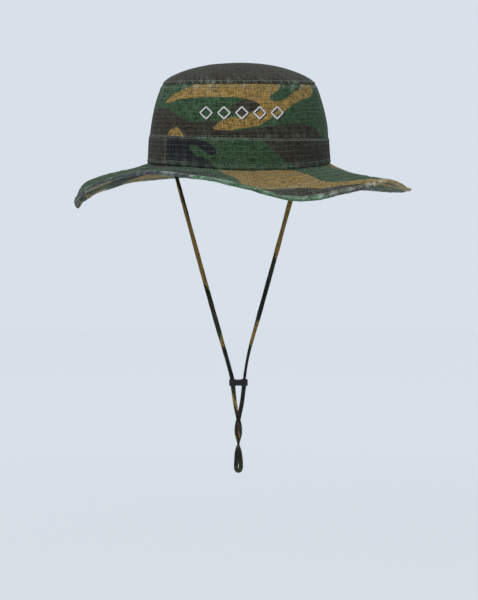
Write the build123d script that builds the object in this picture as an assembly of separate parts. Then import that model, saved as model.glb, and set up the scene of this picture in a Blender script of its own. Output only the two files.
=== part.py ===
from build123d import *
import math
import os

# A soft camouflage boonie hat with a hanging chin cord, in millimetres.
# +Z is up and the wearer looks along -Y. The origin is the centre of the mouth of the crown,
# at the height of the seam between the crown and the brim.

# ---- driving dimensions: crown ----
mouth_half_width = 86.5  # outside of the crown wall at the mouth, left to right
depth_ratio = 1.15  # front-to-back size over left-to-right size
wall_height = 73.5  # mouth to top seam
shoulder_half_width = 72.6  # outside of the crown wall at the top seam
# the wall's lean: share of its height, and share of the narrowing reached there
wall_stations = [(0, 0), (0.4, 0.16), (0.62, 0.33), (0.82, 0.6), (1, 1)]
bearing_step = 10  # the oval's facets, in degrees
dome_height = 22.0  # rise of the top panel above the top seam
dome_fullness = 1.2  # over 1 is pointed in the middle, under 1 is flat
dome_steps = 6  # rows of facets from the rim of the top panel to its middle
cloth = 0.9  # two plies of ripstop, sewn together
ply_gap = 0.15  # air between one sewn layer and the next

# ---- driving dimensions: bands, tapes and trim ----
band_height = 25.5
band_thickness = 0.8
sweatband_height = 30.0
sweatband_drop = 1.2  # how far the sweatband reaches below the seam
sweatband_thickness = 1.0
tape_width = 9.0
tape_thickness = 0.5
label_width = 30.0
label_height = 20.0
label_lift = 5.0
motif_height = 12.6
motif_share = 0.6463  # height of the motif's middle, as a share of the wall's height
motif_count = 5
motif_pitch = 16.0
motif_line = 1.8
motif_thickness = 0.7

# ---- driving dimensions: brim ----
brim_width = 79.0  # measured along the cloth
brim_cloth = 0.6
stiffener_thickness = 0.9
binding_width = 7.0
binding_thickness = 0.7
# three ways the brim falls from its seam to its edge: share of the width, share of the droop
plain_slope = 0.68  # the plain fall starts with this share of the mean slope
early_slope = 1.45  # the early fall starts steeper and levels out
early_bearing = 90.0  # the early fall is on the wearer's left, and fades out over early_spread
early_spread = 45.0
curl_droops = (25.0, 37.0)  # droops between which the late curl comes in
# the late curl: share of the width, share of the reach, share of the droop
curl_section = [
    (0, 0, 0),
    (0.235, 0.28, 0.16),
    (0.463, 0.56, 0.27),
    (0.679, 0.82, 0.4),
    (0.818, 0.94, 0.62),
    (1, 1, 1),
]
# droop of the edge below the seam at each bearing, in degrees from the front towards +X
edge_droop = [
    (0, 14.0),
    (16, 25.0),
    (35, 19.5),
    (53, 12.0),
    (70, 20.0),
    (90, 25.0),
    (115, 29.0),
    (140, 27.5),
    (165, 22.0),
    (190, 19.0),
    (215, 21.0),
    (238, 29.0),
    (256, 37.5),
    (272, 39.5),
    (292, 27.0),
    (311, 11.5),
    (330, 2.0),
    (345, 5.5),
]

# ---- driving dimensions: vent eyelets ----
vent_share = 0.72  # height of the eyelets, as a share of the wall's height
vent_bearings = [-125, -105, 105, 125]  # behind the side seams, each in the middle of a facet
vent_bore = 5.0
vent_barrel_wall = 0.5
vent_flange = 11.5
vent_flange_thickness = 0.8
vent_hole_clearance = 0.2
vent_drill = 12.0  # longer than the wall is thick, so the hole goes through

# ---- driving dimensions: chin cord ----
cord_width = 4.5
tab_length = 14.0
tab_thickness = 1.2
tack_length = 3.0
tack_thickness = 0.8
left_pivot_share = 0.7318  # the pivots' distance from the middle, as a share of the mouth's half-width
right_pivot_share = 0.7202
hang_inset = 3.07  # how far inside the wall the cord hangs
cord_start_z = -4.9
pivot_slab = 30.0  # depth of the slab that cuts a cord's width out of a layer
slider_x = 1.2
slider_z = -221.6
slider_height = 7.0
slider_hole_spacing = 11.4
slider_hole_clearance = 0.4
slider_wall = 1.25
slider_web = 4.6
slider_edge = 1.3
end_gap = 0.4  # between a cord's end and the slider

# ---- sizes that follow from those above ----
motif_centre_height = motif_share * wall_height
vent_height = vent_share * wall_height
left_pivot_x = -left_pivot_share * mouth_half_width
right_pivot_x = right_pivot_share * mouth_half_width
# the cord hangs in this plane, behind the ears
hang_plane_y = depth_ratio * math.sqrt((mouth_half_width - hang_inset) ** 2 - left_pivot_x**2)
slider_hole = cord_width + slider_hole_clearance
strand_x = slider_hole_spacing / 2  # a strand's distance from the slider's middle
strand_end_z = slider_z + slider_height / 2 + end_gap
tail_start_z = slider_z - slider_height / 2 - end_gap


# ---- the cord's route: points chosen by hand, as (x, y, z) from the hang plane ----
def strand_route(pivot_x, end_x, between):
    """A strand from its pivot to the slider, by way of (share of the spread left, height) points."""
    middle = [(end_x + (pivot_x - end_x) * share, 0, z) for share, z in between]
    return [(pivot_x, 0, cord_start_z), *middle, (end_x, 0, strand_end_z)]


left_route = strand_route(left_pivot_x, slider_x - strand_x, [(0.3912, -137.5)])
right_bends = [(0.5614, -94.5), (0.222, -163.0), (0.074, -192.0)]
right_route = strand_route(right_pivot_x, slider_x + strand_x, right_bends)
# the two strands of the tail, twisted round each other, from the slider's axis
tail_down = [
    (-strand_x, 0, tail_start_z),
    (-4.3, -0.8, -234.5),
    (-2.6, -2.0, -246.0),
    (0.3, -3.0, -257.0),
    (2.9, -1.0, -268.0),
    (1.9, 2.3, -279.0),
    (-0.7, 3.0, -290.5),
    (-3.2, 1.0, -301.0),
    (-3.2, 0, -310.3),
]
tail_up = [(-x, -y, z) for x, y, z in reversed(tail_down)]

BIG = 400.0  # past the whole hat


# ---- helpers ----
def wall_x(z, offset=0.0):
    """Half-width of the crown wall's outside at height z, moved out by offset."""
    shares = [share for share, inset in wall_stations]
    insets = [inset for share, inset in wall_stations]
    t = z / wall_height
    i = max(0, min(len(shares) - 2, sum(1 for share in shares if share <= t) - 1))
    inset = insets[i] + (insets[i + 1] - insets[i]) * (t - shares[i]) / (shares[i + 1] - shares[i])
    return mouth_half_width - (mouth_half_width - shoulder_half_width) * inset + offset


def oval_point(half_width, z, bearing):
    """A point on the hat's oval, at a bearing in degrees from the front towards +X."""
    angle = math.radians(bearing)
    return Vector(half_width * math.sin(angle), -half_width * depth_ratio * math.cos(angle), z)


def facet(corners):
    """The flat face that fills four corners, or two triangles folded along the higher diagonal."""
    a, b, c, d = corners
    if abs((b - a).cross(c - a).dot(d - a)) < 1e-9:
        return [Face(Wire.make_polygon(corners))]
    halves = ([a, b, c], [a, c, d]) if (a + c).Z > (b + d).Z else ([b, c, d], [b, d, a])
    return [Face(Wire.make_polygon(half)) for half in halves]


def ring_of(sections, closed=True):
    """A solid from a row of same-sized section polygons, in a closed ring or with flat ends."""
    faces = []
    pairs = list(zip(sections, sections[1:] + (sections[:1] if closed else [])))
    for here, there in pairs:
        for i in range(len(here)):
            j = (i + 1) % len(here)
            faces += facet([here[i], here[j], there[j], there[i]])
    if not closed:
        faces += [Face(Wire.make_polygon(end)) for end in (sections[0], sections[-1])]
    return Solid(Shell(faces))


binding_start = 1 - binding_width / brim_width
full_turn = [bearing_step * i for i in range(round(360 / bearing_step))]
front_turn = [bearing_step * i - 90 for i in range(round(180 / bearing_step) + 1)]
back_turn = [bearing + 180 for bearing in front_turn]


def wall_layer(inner, outer, low, high, turn=full_turn):
    """A sleeve that follows the crown wall, between two offsets from its outside."""
    between = [share * wall_height for share, inset in wall_stations]
    heights = [low] + [z for z in between if low < z < high] + [high]
    corners = [(wall_x(z, outer), z) for z in heights]
    corners += [(wall_x(z, inner), z) for z in reversed(heights)]
    sections = [[oval_point(x, z, bearing) for x, z in corners] for bearing in turn]
    return ring_of(sections, closed=turn is full_turn)


def dome_corners(half_width, height, base):
    """Half of the top panel's outline, from its rim to its middle."""
    steps = [math.pi / 2 * (1 - i / dome_steps) for i in range(dome_steps + 1)]
    return [(half_width * math.sin(a), base + height * math.cos(a) ** dome_fullness) for a in steps]


def droop_at(bearing):
    """The edge's droop at any bearing, on a smooth closed curve through the chosen points."""
    count = len(edge_droop)
    i = sum(1 for known, droop in edge_droop if known <= bearing % 360) - 1
    near = [edge_droop[(i + k) % count] for k in (-1, 0, 1, 2)]
    angles = [near[0][0], near[1][0], near[2][0], near[3][0]]
    for k in (1, 2, 3):
        while angles[k] <= angles[k - 1]:
            angles[k] += 360
    span = angles[2] - angles[1]
    t = (bearing - angles[1]) % 360 / span
    leave = (near[2][1] - near[0][1]) / (angles[2] - angles[0]) * span
    arrive = (near[3][1] - near[1][1]) / (angles[3] - angles[1]) * span
    rise = (3 - 2 * t) * t * t
    bend = leave * t * (1 - t) ** 2 - arrive * t * t * (1 - t)
    return near[1][1] * (1 - rise) + near[2][1] * rise + bend


def curl_at(station):
    """The late curl's shares of reach and droop, carried straight on past the edge."""
    i = max(0, min(len(curl_section) - 2, sum(1 for c in curl_section if c[0] <= station) - 1))
    (s0, out0, down0), (s1, out1, down1) = curl_section[i : i + 2]
    t = (station - s0) / (s1 - s0)
    return out0 + (out1 - out0) * t, down0 + (down1 - down0) * t


def brim_point(bearing, station, lift):
    """A point of the brim: station 0 is the seam and 1 the edge, and lift is upwards."""
    droop = droop_at(bearing)
    curl = max(0.0, min(1.0, (droop - curl_droops[0]) / (curl_droops[1] - curl_droops[0])))
    off = ((bearing - early_bearing + 180) % 360 - 180) / early_spread
    early = math.exp(-off * off)
    slope = plain_slope + (early_slope - plain_slope) * early
    curl_out, curl_down = curl_at(station)
    down = (slope * station + (1 - slope) * station**2) * (1 - curl) + curl_down * curl
    out = station * (1 - curl) + curl_out * curl
    reach = (math.sqrt(brim_width**2 - droop**2) + cloth) * out
    angle = math.radians(bearing)
    root = oval_point(mouth_half_width - cloth, lift - droop * down, bearing)
    return root + Vector(math.sin(angle), -math.cos(angle), 0) * reach


def brim_layer(section, turn=full_turn):
    """A ring whose section is a polygon of (station, lift) corners."""
    sections = [[brim_point(bearing, *corner) for corner in section] for bearing in turn]
    return ring_of(sections, closed=turn is full_turn)


def flat_layer(top, thickness, turn=full_turn):
    """A brim ply from its upper lift down through its thickness."""
    stations = [station for station, out, down in curl_section[:-1]] + [binding_start, 1]
    section = [(station, top) for station in stations]
    section += [(station, top - thickness) for station in reversed(stations)]
    return brim_layer(section, turn)


def cord_tube(name, route, dx=0.0):
    """A tube of straight runs and tangent arcs along a route in the hang plane."""
    points = [Vector(x + dx, y + hang_plane_y, z) for x, y, z in route]
    radii = []
    for a, b, c in zip(points, points[1:], points[2:]):
        half_turn = math.radians((b - a).get_angle(c - b)) / 2
        shorter = min((b - a).length, (c - b).length)
        radii.append(0.45 * shorter / math.tan(half_turn))
    path = FilletPolyline(*points, radius=radii)
    start = Plane(origin=path @ 0, z_dir=path % 0)
    tube = sweep(start * Circle(cord_width / 2), path=path)
    expected = path.length * math.pi * cord_width**2 / 4
    print(name, "radii", [round(r, 1) for r in radii], "length", round(path.length, 1))
    print(name, "volume over section times length", round(tube.volume / expected, 4))
    return tube


# ---- crown ----
def make_crown_top():
    """The domed oval panel, as a skin that closes over the middle."""
    base = wall_height + ply_gap
    outside = dome_corners(shoulder_half_width, dome_height, base)
    inside = dome_corners(shoulder_half_width - cloth, dome_height - cloth, base)
    faces = []
    for here, there in zip(full_turn, full_turn[1:] + full_turn[:1]):
        for skin in (outside, inside):
            for (x0, z0), (x1, z1) in zip(skin[:-2], skin[1:-1]):
                low = [oval_point(x0, z0, here), oval_point(x0, z0, there)]
                faces += facet(low + [oval_point(x1, z1, there), oval_point(x1, z1, here)])
            x, z = skin[-2]
            tip = [oval_point(x, z, here), oval_point(x, z, there), Vector(0, 0, skin[-1][1])]
            faces.append(Face(Wire.make_polygon(tip)))
        rim = [oval_point(outside[0][0], base, here), oval_point(outside[0][0], base, there)]
        rim += [oval_point(inside[0][0], base, there), oval_point(inside[0][0], base, here)]
        faces += facet(rim)
    return Solid(Shell(faces))


def vent_planes():
    """One plane per eyelet, in the middle of a facet of the wall, with its normal pointing out."""
    planes = []
    below = vent_height - 1
    above = vent_height + 1
    for bearing in vent_bearings:
        sides = (bearing - bearing_step / 2, bearing + bearing_step / 2)
        corners = [oval_point(wall_x(z), z, side) for z in (below, above) for side in sides]
        centre = sum(corners, Vector(0, 0, 0)) * 0.25
        normal = (corners[1] - corners[0]).cross(corners[2] - corners[0])
        planes.append(Plane(origin=centre, z_dir=normal))
    return planes


def make_crown_side(turn):
    wall = wall_layer(-cloth, 0, 0, wall_height, turn)
    hole = vent_bore / 2 + vent_barrel_wall + vent_hole_clearance
    for plane in vent_planes():
        wall -= plane * Cylinder(hole, vent_drill)
    return wall


def make_vents():
    """Flanged eyelets outside the wall, and the washers that they are rolled over inside it."""
    eyelets = []
    washers = []
    bore = vent_bore / 2
    barrel = bore + vent_barrel_wall
    flange = vent_flange / 2
    seat = 2 * ply_gap
    depth = cloth + 4 * seat
    for plane in vent_planes():
        disc = Pos(0, 0, seat + vent_flange_thickness / 2) * Cylinder(flange, vent_flange_thickness)
        tube = Pos(0, 0, seat - depth / 2) * Cylinder(barrel, depth)
        eyelet = disc + tube - Cylinder(bore, 3 * depth)
        eyelet = fillet(eyelet.edges().group_by(Axis.Z)[-1], vent_flange_thickness / 4)
        eyelets.append(plane * eyelet)
        washer = Cylinder(flange, vent_flange_thickness / 2) - Cylinder(barrel + ply_gap, vent_drill)
        washers.append(plane * Pos(0, 0, seat - depth + vent_flange_thickness / 4) * washer)
    return Compound(children=eyelets), Compound(children=washers)


def make_crown_top_tape():
    outer = -cloth - ply_gap
    top = wall_height - 2 * ply_gap
    return wall_layer(outer - tape_thickness, outer, top - tape_width, top)


def make_side_seam_tapes():
    outer = -cloth - ply_gap
    low = sweatband_height + 2 * ply_gap
    high = wall_height - tape_width - 4 * ply_gap
    sleeve = wall_layer(outer - tape_thickness, outer, low, high)
    return sleeve & Box(BIG, tape_width, BIG)


def make_hat_band():
    return wall_layer(ply_gap, ply_gap + band_thickness, ply_gap, band_height)


def make_front_embroidery():
    """A row of outlined lozenges, raised on the front of the crown."""
    half = motif_height / 2
    outline = Polygon((0, half), (half, 0), (0, -half), (-half, 0))
    inner = half - motif_line * math.sqrt(2)
    hollow = Polygon((0, inner), (inner, 0), (0, -inner), (-inner, 0))
    row = Sketch() + [
        Pos((i - (motif_count - 1) / 2) * motif_pitch, 0) * (outline - hollow)
        for i in range(motif_count)
    ]
    plane = Plane(origin=(0, 0, motif_centre_height), x_dir=(1, 0, 0), z_dir=(0, -1, 0))
    # The direction is stated, because a face's own normal depends on how its outline winds.
    stamp = extrude(plane * row, amount=BIG / 2, dir=(0, -1, 0))
    low = motif_centre_height - motif_height
    high = motif_centre_height + motif_height
    motif = wall_layer(ply_gap, ply_gap + motif_thickness, low, high) & stamp
    box = motif.bounding_box()
    print("front_embroidery y from", round(box.min.Y, 2), "to", round(box.max.Y, 2), "front is -Y")
    if box.max.Y >= 0:
        raise ValueError("front_embroidery is not on the front of the crown")
    return motif


# ---- inside the mouth ----
sweatband_outer = -cloth - ply_gap
sweatband_inner = sweatband_outer - sweatband_thickness


def make_sweatband():
    return wall_layer(sweatband_inner, sweatband_outer, -sweatband_drop, sweatband_height)


def make_label():
    outer = sweatband_inner - ply_gap
    layer = wall_layer(outer - tape_thickness, outer, label_lift, label_lift + label_height)
    return layer & Pos(0, BIG / 2, 0) * Box(label_width, BIG, BIG)


def beside_the_pivots(width):
    """Two upright slabs that cut a cord's width out of a layer, square to it at each pivot."""
    slabs = []
    for x in (left_pivot_x, right_pivot_x):
        a = wall_x(0, sweatband_inner)
        tangent = math.degrees(math.atan2(x / a**2, hang_plane_y / (a * depth_ratio) ** 2))
        slabs.append(Pos(x, hang_plane_y, 0) * Rot(0, 0, -tangent) * Box(width, pivot_slab, BIG))
    return slabs


def cut_by(layer, slabs):
    return Compound(children=[layer & slab for slab in slabs])


def make_cord_end_tabs():
    outer = sweatband_inner - ply_gap
    layer = wall_layer(outer - tab_thickness, outer, -sweatband_drop, tab_length)
    return cut_by(layer, beside_the_pivots(cord_width))


def make_bar_tacks():
    """The dense zigzag stitching that holds each cord end to the sweatband."""
    outer = sweatband_inner - tab_thickness - 2 * ply_gap
    low = tab_length / 2
    layer = wall_layer(outer - tack_thickness, outer, low, low + tack_length)
    return cut_by(layer, beside_the_pivots(cord_width - 2 * ply_gap))


# ---- brim ----
brim_top_lift = -ply_gap
stiffener_lift = brim_top_lift - brim_cloth - ply_gap
brim_under_lift = stiffener_lift - stiffener_thickness - ply_gap
brim_lowest = brim_under_lift - brim_cloth


def make_brim_edge_binding():
    """A folded strip that wraps the brim's edge, above, outside and below."""
    start = binding_start
    edge = 1 + ply_gap / brim_width
    outside = edge + binding_thickness / brim_width
    top = brim_top_lift + ply_gap
    low = brim_lowest - ply_gap
    return brim_layer(
        [
            (start, top + binding_thickness),
            (outside, top + binding_thickness),
            (outside, low - binding_thickness),
            (start, low - binding_thickness),
            (start, low),
            (edge, low),
            (edge, top),
            (start, top),
        ]
    )


# ---- chin cord ----
def make_slider():
    """A moulded bar with a barrel at each end, bored for the two strands."""
    bore = slider_hole / 2
    lobe = bore + slider_wall
    half = slider_hole_spacing / 2
    body = Box(slider_hole_spacing, slider_web, slider_height - slider_edge)
    for side in (-1, 1):
        barrel = Cylinder(lobe, slider_height)
        barrel = fillet(barrel.edges().filter_by(GeomType.CIRCLE), slider_edge)
        body += Pos(side * half, 0, 0) * barrel
    for side in (-1, 1):
        body -= Pos(side * half, 0, 0) * Cylinder(bore, 2 * slider_height)
    return Pos(slider_x, hang_plane_y, slider_z) * body


# ---- write the nodes ----
def main():
    os.makedirs("parts", exist_ok=True)
    eyelets, washers = make_vents()
    nodes = {
        "crown_top": make_crown_top(),
        "crown_side_front": make_crown_side(front_turn),
        "crown_side_back": make_crown_side(back_turn),
        "crown_top_tape": make_crown_top_tape(),
        "side_seam_tapes": make_side_seam_tapes(),
        "hat_band": make_hat_band(),
        "front_embroidery": make_front_embroidery(),
        "vent_eyelets": eyelets,
        "vent_washers": washers,
        "sweatband": make_sweatband(),
        "blank_label": make_label(),
        "cord_end_tabs": make_cord_end_tabs(),
        "bar_tacks": make_bar_tacks(),
        "brim_top_front": flat_layer(brim_top_lift, brim_cloth, front_turn),
        "brim_top_back": flat_layer(brim_top_lift, brim_cloth, back_turn),
        "brim_stiffener": flat_layer(stiffener_lift, stiffener_thickness),
        "brim_under_front": flat_layer(brim_under_lift, brim_cloth, front_turn),
        "brim_under_back": flat_layer(brim_under_lift, brim_cloth, back_turn),
        "brim_edge_binding": make_brim_edge_binding(),
        "cord_left": cord_tube("cord_left", left_route),
        "cord_right": cord_tube("cord_right", right_route),
        "cord_tail": cord_tube("cord_tail", tail_down + tail_up, slider_x),
        "cord_slider": make_slider(),
    }
    for name, shape in nodes.items():
        export_step(shape, f"parts/{name}.step")


main()
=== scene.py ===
# %% [markdown]
# # A camouflage boonie hat
# The hat is sewn from ripstop cotton: an oval top, a wall in two halves, a band, a quilted brim with a
# bound edge, and a flat fabric chin cord with a moulded slider. The CAD frame says where each piece
# is, so this lesson starts by loading it and reads its sizes from it.
# %% Load the frame
import math
import bpy
import numpy as np
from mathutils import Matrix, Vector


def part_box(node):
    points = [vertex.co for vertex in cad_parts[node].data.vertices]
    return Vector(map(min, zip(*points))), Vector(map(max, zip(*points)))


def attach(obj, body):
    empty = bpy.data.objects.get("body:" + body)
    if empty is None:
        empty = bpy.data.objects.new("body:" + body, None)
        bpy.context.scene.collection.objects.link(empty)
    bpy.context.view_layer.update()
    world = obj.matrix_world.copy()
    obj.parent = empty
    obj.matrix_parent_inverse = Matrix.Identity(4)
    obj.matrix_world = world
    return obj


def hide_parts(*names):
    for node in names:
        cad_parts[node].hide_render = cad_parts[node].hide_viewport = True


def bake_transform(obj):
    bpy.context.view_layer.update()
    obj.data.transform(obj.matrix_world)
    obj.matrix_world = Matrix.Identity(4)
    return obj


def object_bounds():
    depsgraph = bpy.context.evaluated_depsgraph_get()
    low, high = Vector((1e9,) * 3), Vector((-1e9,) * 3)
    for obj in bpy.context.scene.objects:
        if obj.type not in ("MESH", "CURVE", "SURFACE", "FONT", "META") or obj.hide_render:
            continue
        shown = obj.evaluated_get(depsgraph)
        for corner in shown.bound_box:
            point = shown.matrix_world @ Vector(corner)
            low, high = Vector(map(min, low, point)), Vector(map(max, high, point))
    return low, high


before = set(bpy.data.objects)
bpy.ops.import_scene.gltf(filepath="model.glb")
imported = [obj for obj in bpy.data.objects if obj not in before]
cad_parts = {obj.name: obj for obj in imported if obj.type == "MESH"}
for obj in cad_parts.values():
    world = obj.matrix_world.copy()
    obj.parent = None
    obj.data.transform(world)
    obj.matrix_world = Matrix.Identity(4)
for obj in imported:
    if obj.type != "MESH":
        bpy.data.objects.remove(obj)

cad_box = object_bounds()
MM = 0.001
print("CAD box in mm", [[round(c / MM, 1) for c in corner] for corner in cad_box])

# %% [markdown]
# The sizes of the sewn pieces come from the CAD nodes' boxes, in millimetres. The wave of the brim's
# edge is a list of bearings, in degrees from the front towards the wearer's left hand, with how far
# the edge hangs below the seam.
# %% Sizes
def node_box(node):
    low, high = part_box(node)
    return np.array(low) / MM, np.array(high) / MM


wall_low, wall_high = node_box("crown_side_front")
top_low, top_high = node_box("crown_top")
band_low, band_high = node_box("hat_band")
sweat_low, sweat_high = node_box("sweatband")
MOUTH = wall_high[0]
DEPTH_RATIO = -wall_low[1] / wall_high[0]
WALL_HEIGHT = wall_high[2]
SHOULDER = top_high[0]
DOME_BASE = top_low[2]
DOME_HEIGHT = top_high[2] - top_low[2]
BAND_HEIGHT = band_high[2]
BRIM_WIDTH = 79.0
CLOTH = 0.9
BRIM_CLOTH = 0.6
EDGE_DROOP = [
    (0, 14.0), (16, 25.0), (35, 19.5), (53, 12.0), (70, 20.0), (90, 25.0),
    (115, 29.0), (140, 27.5), (165, 22.0), (190, 19.0), (215, 21.0), (238, 29.0),
    (256, 37.5), (272, 39.5), (292, 27.0), (311, 11.5), (330, 2.0), (345, 5.5),
]
print("mouth half-width", round(MOUTH, 1), "wall height", round(WALL_HEIGHT, 1))

# %% [markdown]
# ## Camera, floor and light
# The camera stands 1.6 m in front of the hat, a little above the brim, and looks slightly down at
# the middle of the hanging cord. A long lens keeps the oval of the mouth nearly flat.
# %% Camera
CAMERA_DISTANCE = 1.6
CAMERA_BEARING = math.radians(-1.6)
CAMERA_HEIGHT = 0.05
AIM_HEIGHT = -0.1312
LENS = 100.6


def place_camera():
    data = bpy.data.cameras.new("camera")
    data.lens = LENS
    data.sensor_width = 36.0
    data.clip_end = 20.0
    camera = bpy.data.objects.new("camera", data)
    bpy.context.scene.collection.objects.link(camera)
    spot = np.array([math.sin(CAMERA_BEARING), -math.cos(CAMERA_BEARING), 0.0]) * CAMERA_DISTANCE
    camera.location = (spot[0], spot[1], CAMERA_HEIGHT)
    drop = CAMERA_HEIGHT - AIM_HEIGHT
    camera.rotation_euler = (math.pi / 2 - math.atan2(drop, CAMERA_DISTANCE), 0, CAMERA_BEARING)
    bpy.context.scene.camera = camera
    print("camera at", [round(c, 3) for c in camera.location])


place_camera()

# %% [markdown]
# Every colour in this lesson is an sRGB hex value, as a paint chart gives it. Blender's shaders work
# in linear light, so one function turns the one into the other.
# %% Colour and node helpers
def linear(hex_colour):
    channels = [int(hex_colour[i : i + 2], 16) / 255 for i in (1, 3, 5)]
    flat = [c / 12.92 if c <= 0.04045 else ((c + 0.055) / 1.055) ** 2.4 for c in channels]
    return (*flat, 1.0)


def add(tree, kind, settings=None, **links):
    """Adds a node, sets its properties and inputs, and links what is linked into it."""
    node = tree.nodes.new(kind)
    for key, value in (settings or {}).items():
        setattr(node, key, value)
    for key, value in links.items():
        socket = node.inputs[int(key[1:])] if key[0] == "i" and key[1:].isdigit() else node.inputs[key]
        if isinstance(value, bpy.types.NodeSocket):
            tree.links.new(value, socket)
        else:
            socket.default_value = value
    return node


def new_material(name):
    material = bpy.data.materials.new(name)
    material.use_nodes = True
    tree = material.node_tree
    tree.nodes.clear()
    shader = tree.nodes.new("ShaderNodeBsdfPrincipled")
    output = tree.nodes.new("ShaderNodeOutputMaterial")
    tree.links.new(shader.outputs[0], output.inputs[0])
    return material, tree, shader


print("white is", linear("#ffffff"))

# %% [markdown]
# The floor is a plain pale sheet far below the cord's end, so the hat seems to hang in a plain
# studio. Its paint is a little lighter far away, where less light falls, so it runs into the world. One large soft light stands high on the left, a weaker one on the right, and the pale
# world fills the shadows.
# %% Studio
FLOOR_GAP = 0.9
FLOOR_HALF = 8.0
BACKDROP = "#d8e0e9"


def make_floor():
    height = cad_box[0][2] - FLOOR_GAP
    corners = [(x * FLOOR_HALF, y * FLOOR_HALF, height) for x, y in ((-1, -1), (1, -1), (1, 1), (-1, 1))]
    mesh = bpy.data.meshes.new("floor")
    mesh.from_pydata(corners, [], [(0, 1, 2, 3)])
    floor = bpy.data.objects.new("floor", mesh)
    bpy.context.scene.collection.objects.link(floor)
    material, tree, shader = new_material("painted_plaster")
    place = add(tree, "ShaderNodeTexCoord").outputs["Object"]
    away = add(tree, "ShaderNodeVectorMath", {"operation": "LENGTH"}, i0=place).outputs["Value"]
    paint = add(tree, "ShaderNodeMapRange", Value=away)
    for key, value in (("From Min", 1.0), ("From Max", 5.0), ("To Min", 0.8), ("To Max", 0.98)):
        paint.inputs[key].default_value = value
    grey = add(tree, "ShaderNodeCombineColor", i0=paint.outputs[0], i1=paint.outputs[0], i2=paint.outputs[0])
    tree.links.new(grey.outputs[0], shader.inputs["Base Color"])
    shader.inputs["Roughness"].default_value = 0.9
    shader.inputs["Specular IOR Level"].default_value = 0.0
    mesh.materials.append(material)


def add_light(name, place, aim, size, power):
    data = bpy.data.lights.new(name, "AREA")
    data.shape = "DISK"
    data.size = size
    data.energy = power
    light = bpy.data.objects.new(name, data)
    bpy.context.scene.collection.objects.link(light)
    light.location = place
    direction = np.array(aim) - np.array(place)
    flat = math.hypot(direction[0], direction[1])
    light.rotation_euler = (math.atan2(flat, -direction[2]), 0, math.atan2(-direction[0], direction[1]))


def make_studio():
    make_floor()
    world = bpy.data.worlds.new("studio")
    bpy.context.scene.world = world
    world.use_nodes = True
    background = world.node_tree.nodes["Background"]
    background.inputs[0].default_value = linear(BACKDROP)
    background.inputs[1].default_value = 1.0
    add_light("key", (-1.1, -1.5, 1.4), (0, 0, 0), 0.8, 24)
    add_light("fill", (1.6, -1.2, 0.3), (0, 0, -0.05), 1.4, 3)
    add_light("rim", (0.6, 1.6, 1.5), (0, 0, 0), 1.2, 8)
    bpy.context.scene.view_settings.view_transform = "Standard"


make_studio()

# %% [markdown]
# ## Cloth made of points
# Every sewn panel here is a grid of points, rows by columns, worked out by a formula. Wrinkles come
# from smooth random bumps, so the lesson needs one noise function that gives the same bumps on every
# run. It works on whole arrays at once.
# %% Noise
def smooth_noise(points, cell, seed):
    """Smooth bumps from -1 to 1, about one cell apart, at an array of points."""
    scaled = np.asarray(points, float) / cell
    corner = np.floor(scaled)
    part = scaled - corner
    weight = part * part * (3 - 2 * part)
    total = np.zeros(scaled.shape[:-1])
    for dx in (0, 1):
        for dy in (0, 1):
            for dz in (0, 1):
                at = corner + (dx, dy, dz)
                mixed = at @ np.array([127.1, 311.7, 74.7]) + seed * 17.31
                value = np.modf(np.abs(np.sin(mixed) * 43758.5453))[0] * 2 - 1
                wx = weight[..., 0] if dx else 1 - weight[..., 0]
                wy = weight[..., 1] if dy else 1 - weight[..., 1]
                wz = weight[..., 2] if dz else 1 - weight[..., 2]
                total += value * wx * wy * wz
    return total


def stack(*axes):
    return np.stack(np.broadcast_arrays(*[np.asarray(a, float) for a in axes]), -1)


def ease(low, high, value):
    t = np.clip((value - low) / (high - low), 0, 1)
    return t * t * (3 - 2 * t)


def hump(distance, width):
    return np.exp(-((distance / width) ** 2))


print("noise at three points", np.round(smooth_noise(stack([0, 5, 9], 2, 3), 4, 1), 3))

# %% [markdown]
# Three formulas give the hat's shape. The wall leans in slowly and then quickly near the top seam,
# the top is a flattened dome, and the brim falls away from the seam to its waving edge. Where the
# edge hangs lowest, the brim goes out level and curls down late, and on the wearer's left it falls
# early and levels out. A lift over the cloth is square to it, so a steep edge stays as thick.
# %% Shape of the hat
PLAIN_SLOPE = 0.68  # the plain fall starts with this share of the mean slope
EARLY_SLOPE = 1.45  # the early fall starts steeper and levels out
EARLY_BEARING = 90.0
EARLY_SPREAD = 45.0
CURL_DROOPS = (25.0, 37.0)  # droops between which the late curl comes in, mm
# the late curl: share of the width, of the reach and of the droop
CURL_SECTION = [(0, 0, 0), (0.235, 0.28, 0.16), (0.463, 0.56, 0.27), (0.679, 0.82, 0.4), (0.818, 0.94, 0.62), (1, 1, 1)]
SEAM_SAG = 3.4  # mm, at the front
DOME_FULLNESS = 0.67
DOME_RISE = DOME_HEIGHT - 1.0


def smooth_curl():
    """The curl's section with its corners cut three times, carried straight on past the edge."""
    points = np.array(CURL_SECTION)
    for _ in range(3):
        near, far = 0.75 * points[:-1] + 0.25 * points[1:], 0.25 * points[:-1] + 0.75 * points[1:]
        points = np.vstack([points[:1], np.stack([near, far], 1).reshape(-1, 3), points[-1:]])
    return np.vstack([points, 2 * points[-1] - CURL_SECTION[-2]])


CURL = smooth_curl()


def oval(half_width, bearing, z, reach=0.0):
    angle = np.radians(bearing)
    x = (half_width + reach) * np.sin(angle)
    y = -(half_width * DEPTH_RATIO + reach) * np.cos(angle)
    return stack(x, y, z)


def wall_half_width(z):
    t = np.clip(z / WALL_HEIGHT, 0, 1)
    return MOUTH - (MOUTH - SHOULDER) * (0.36 * t + 0.64 * t**3.5)


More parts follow.
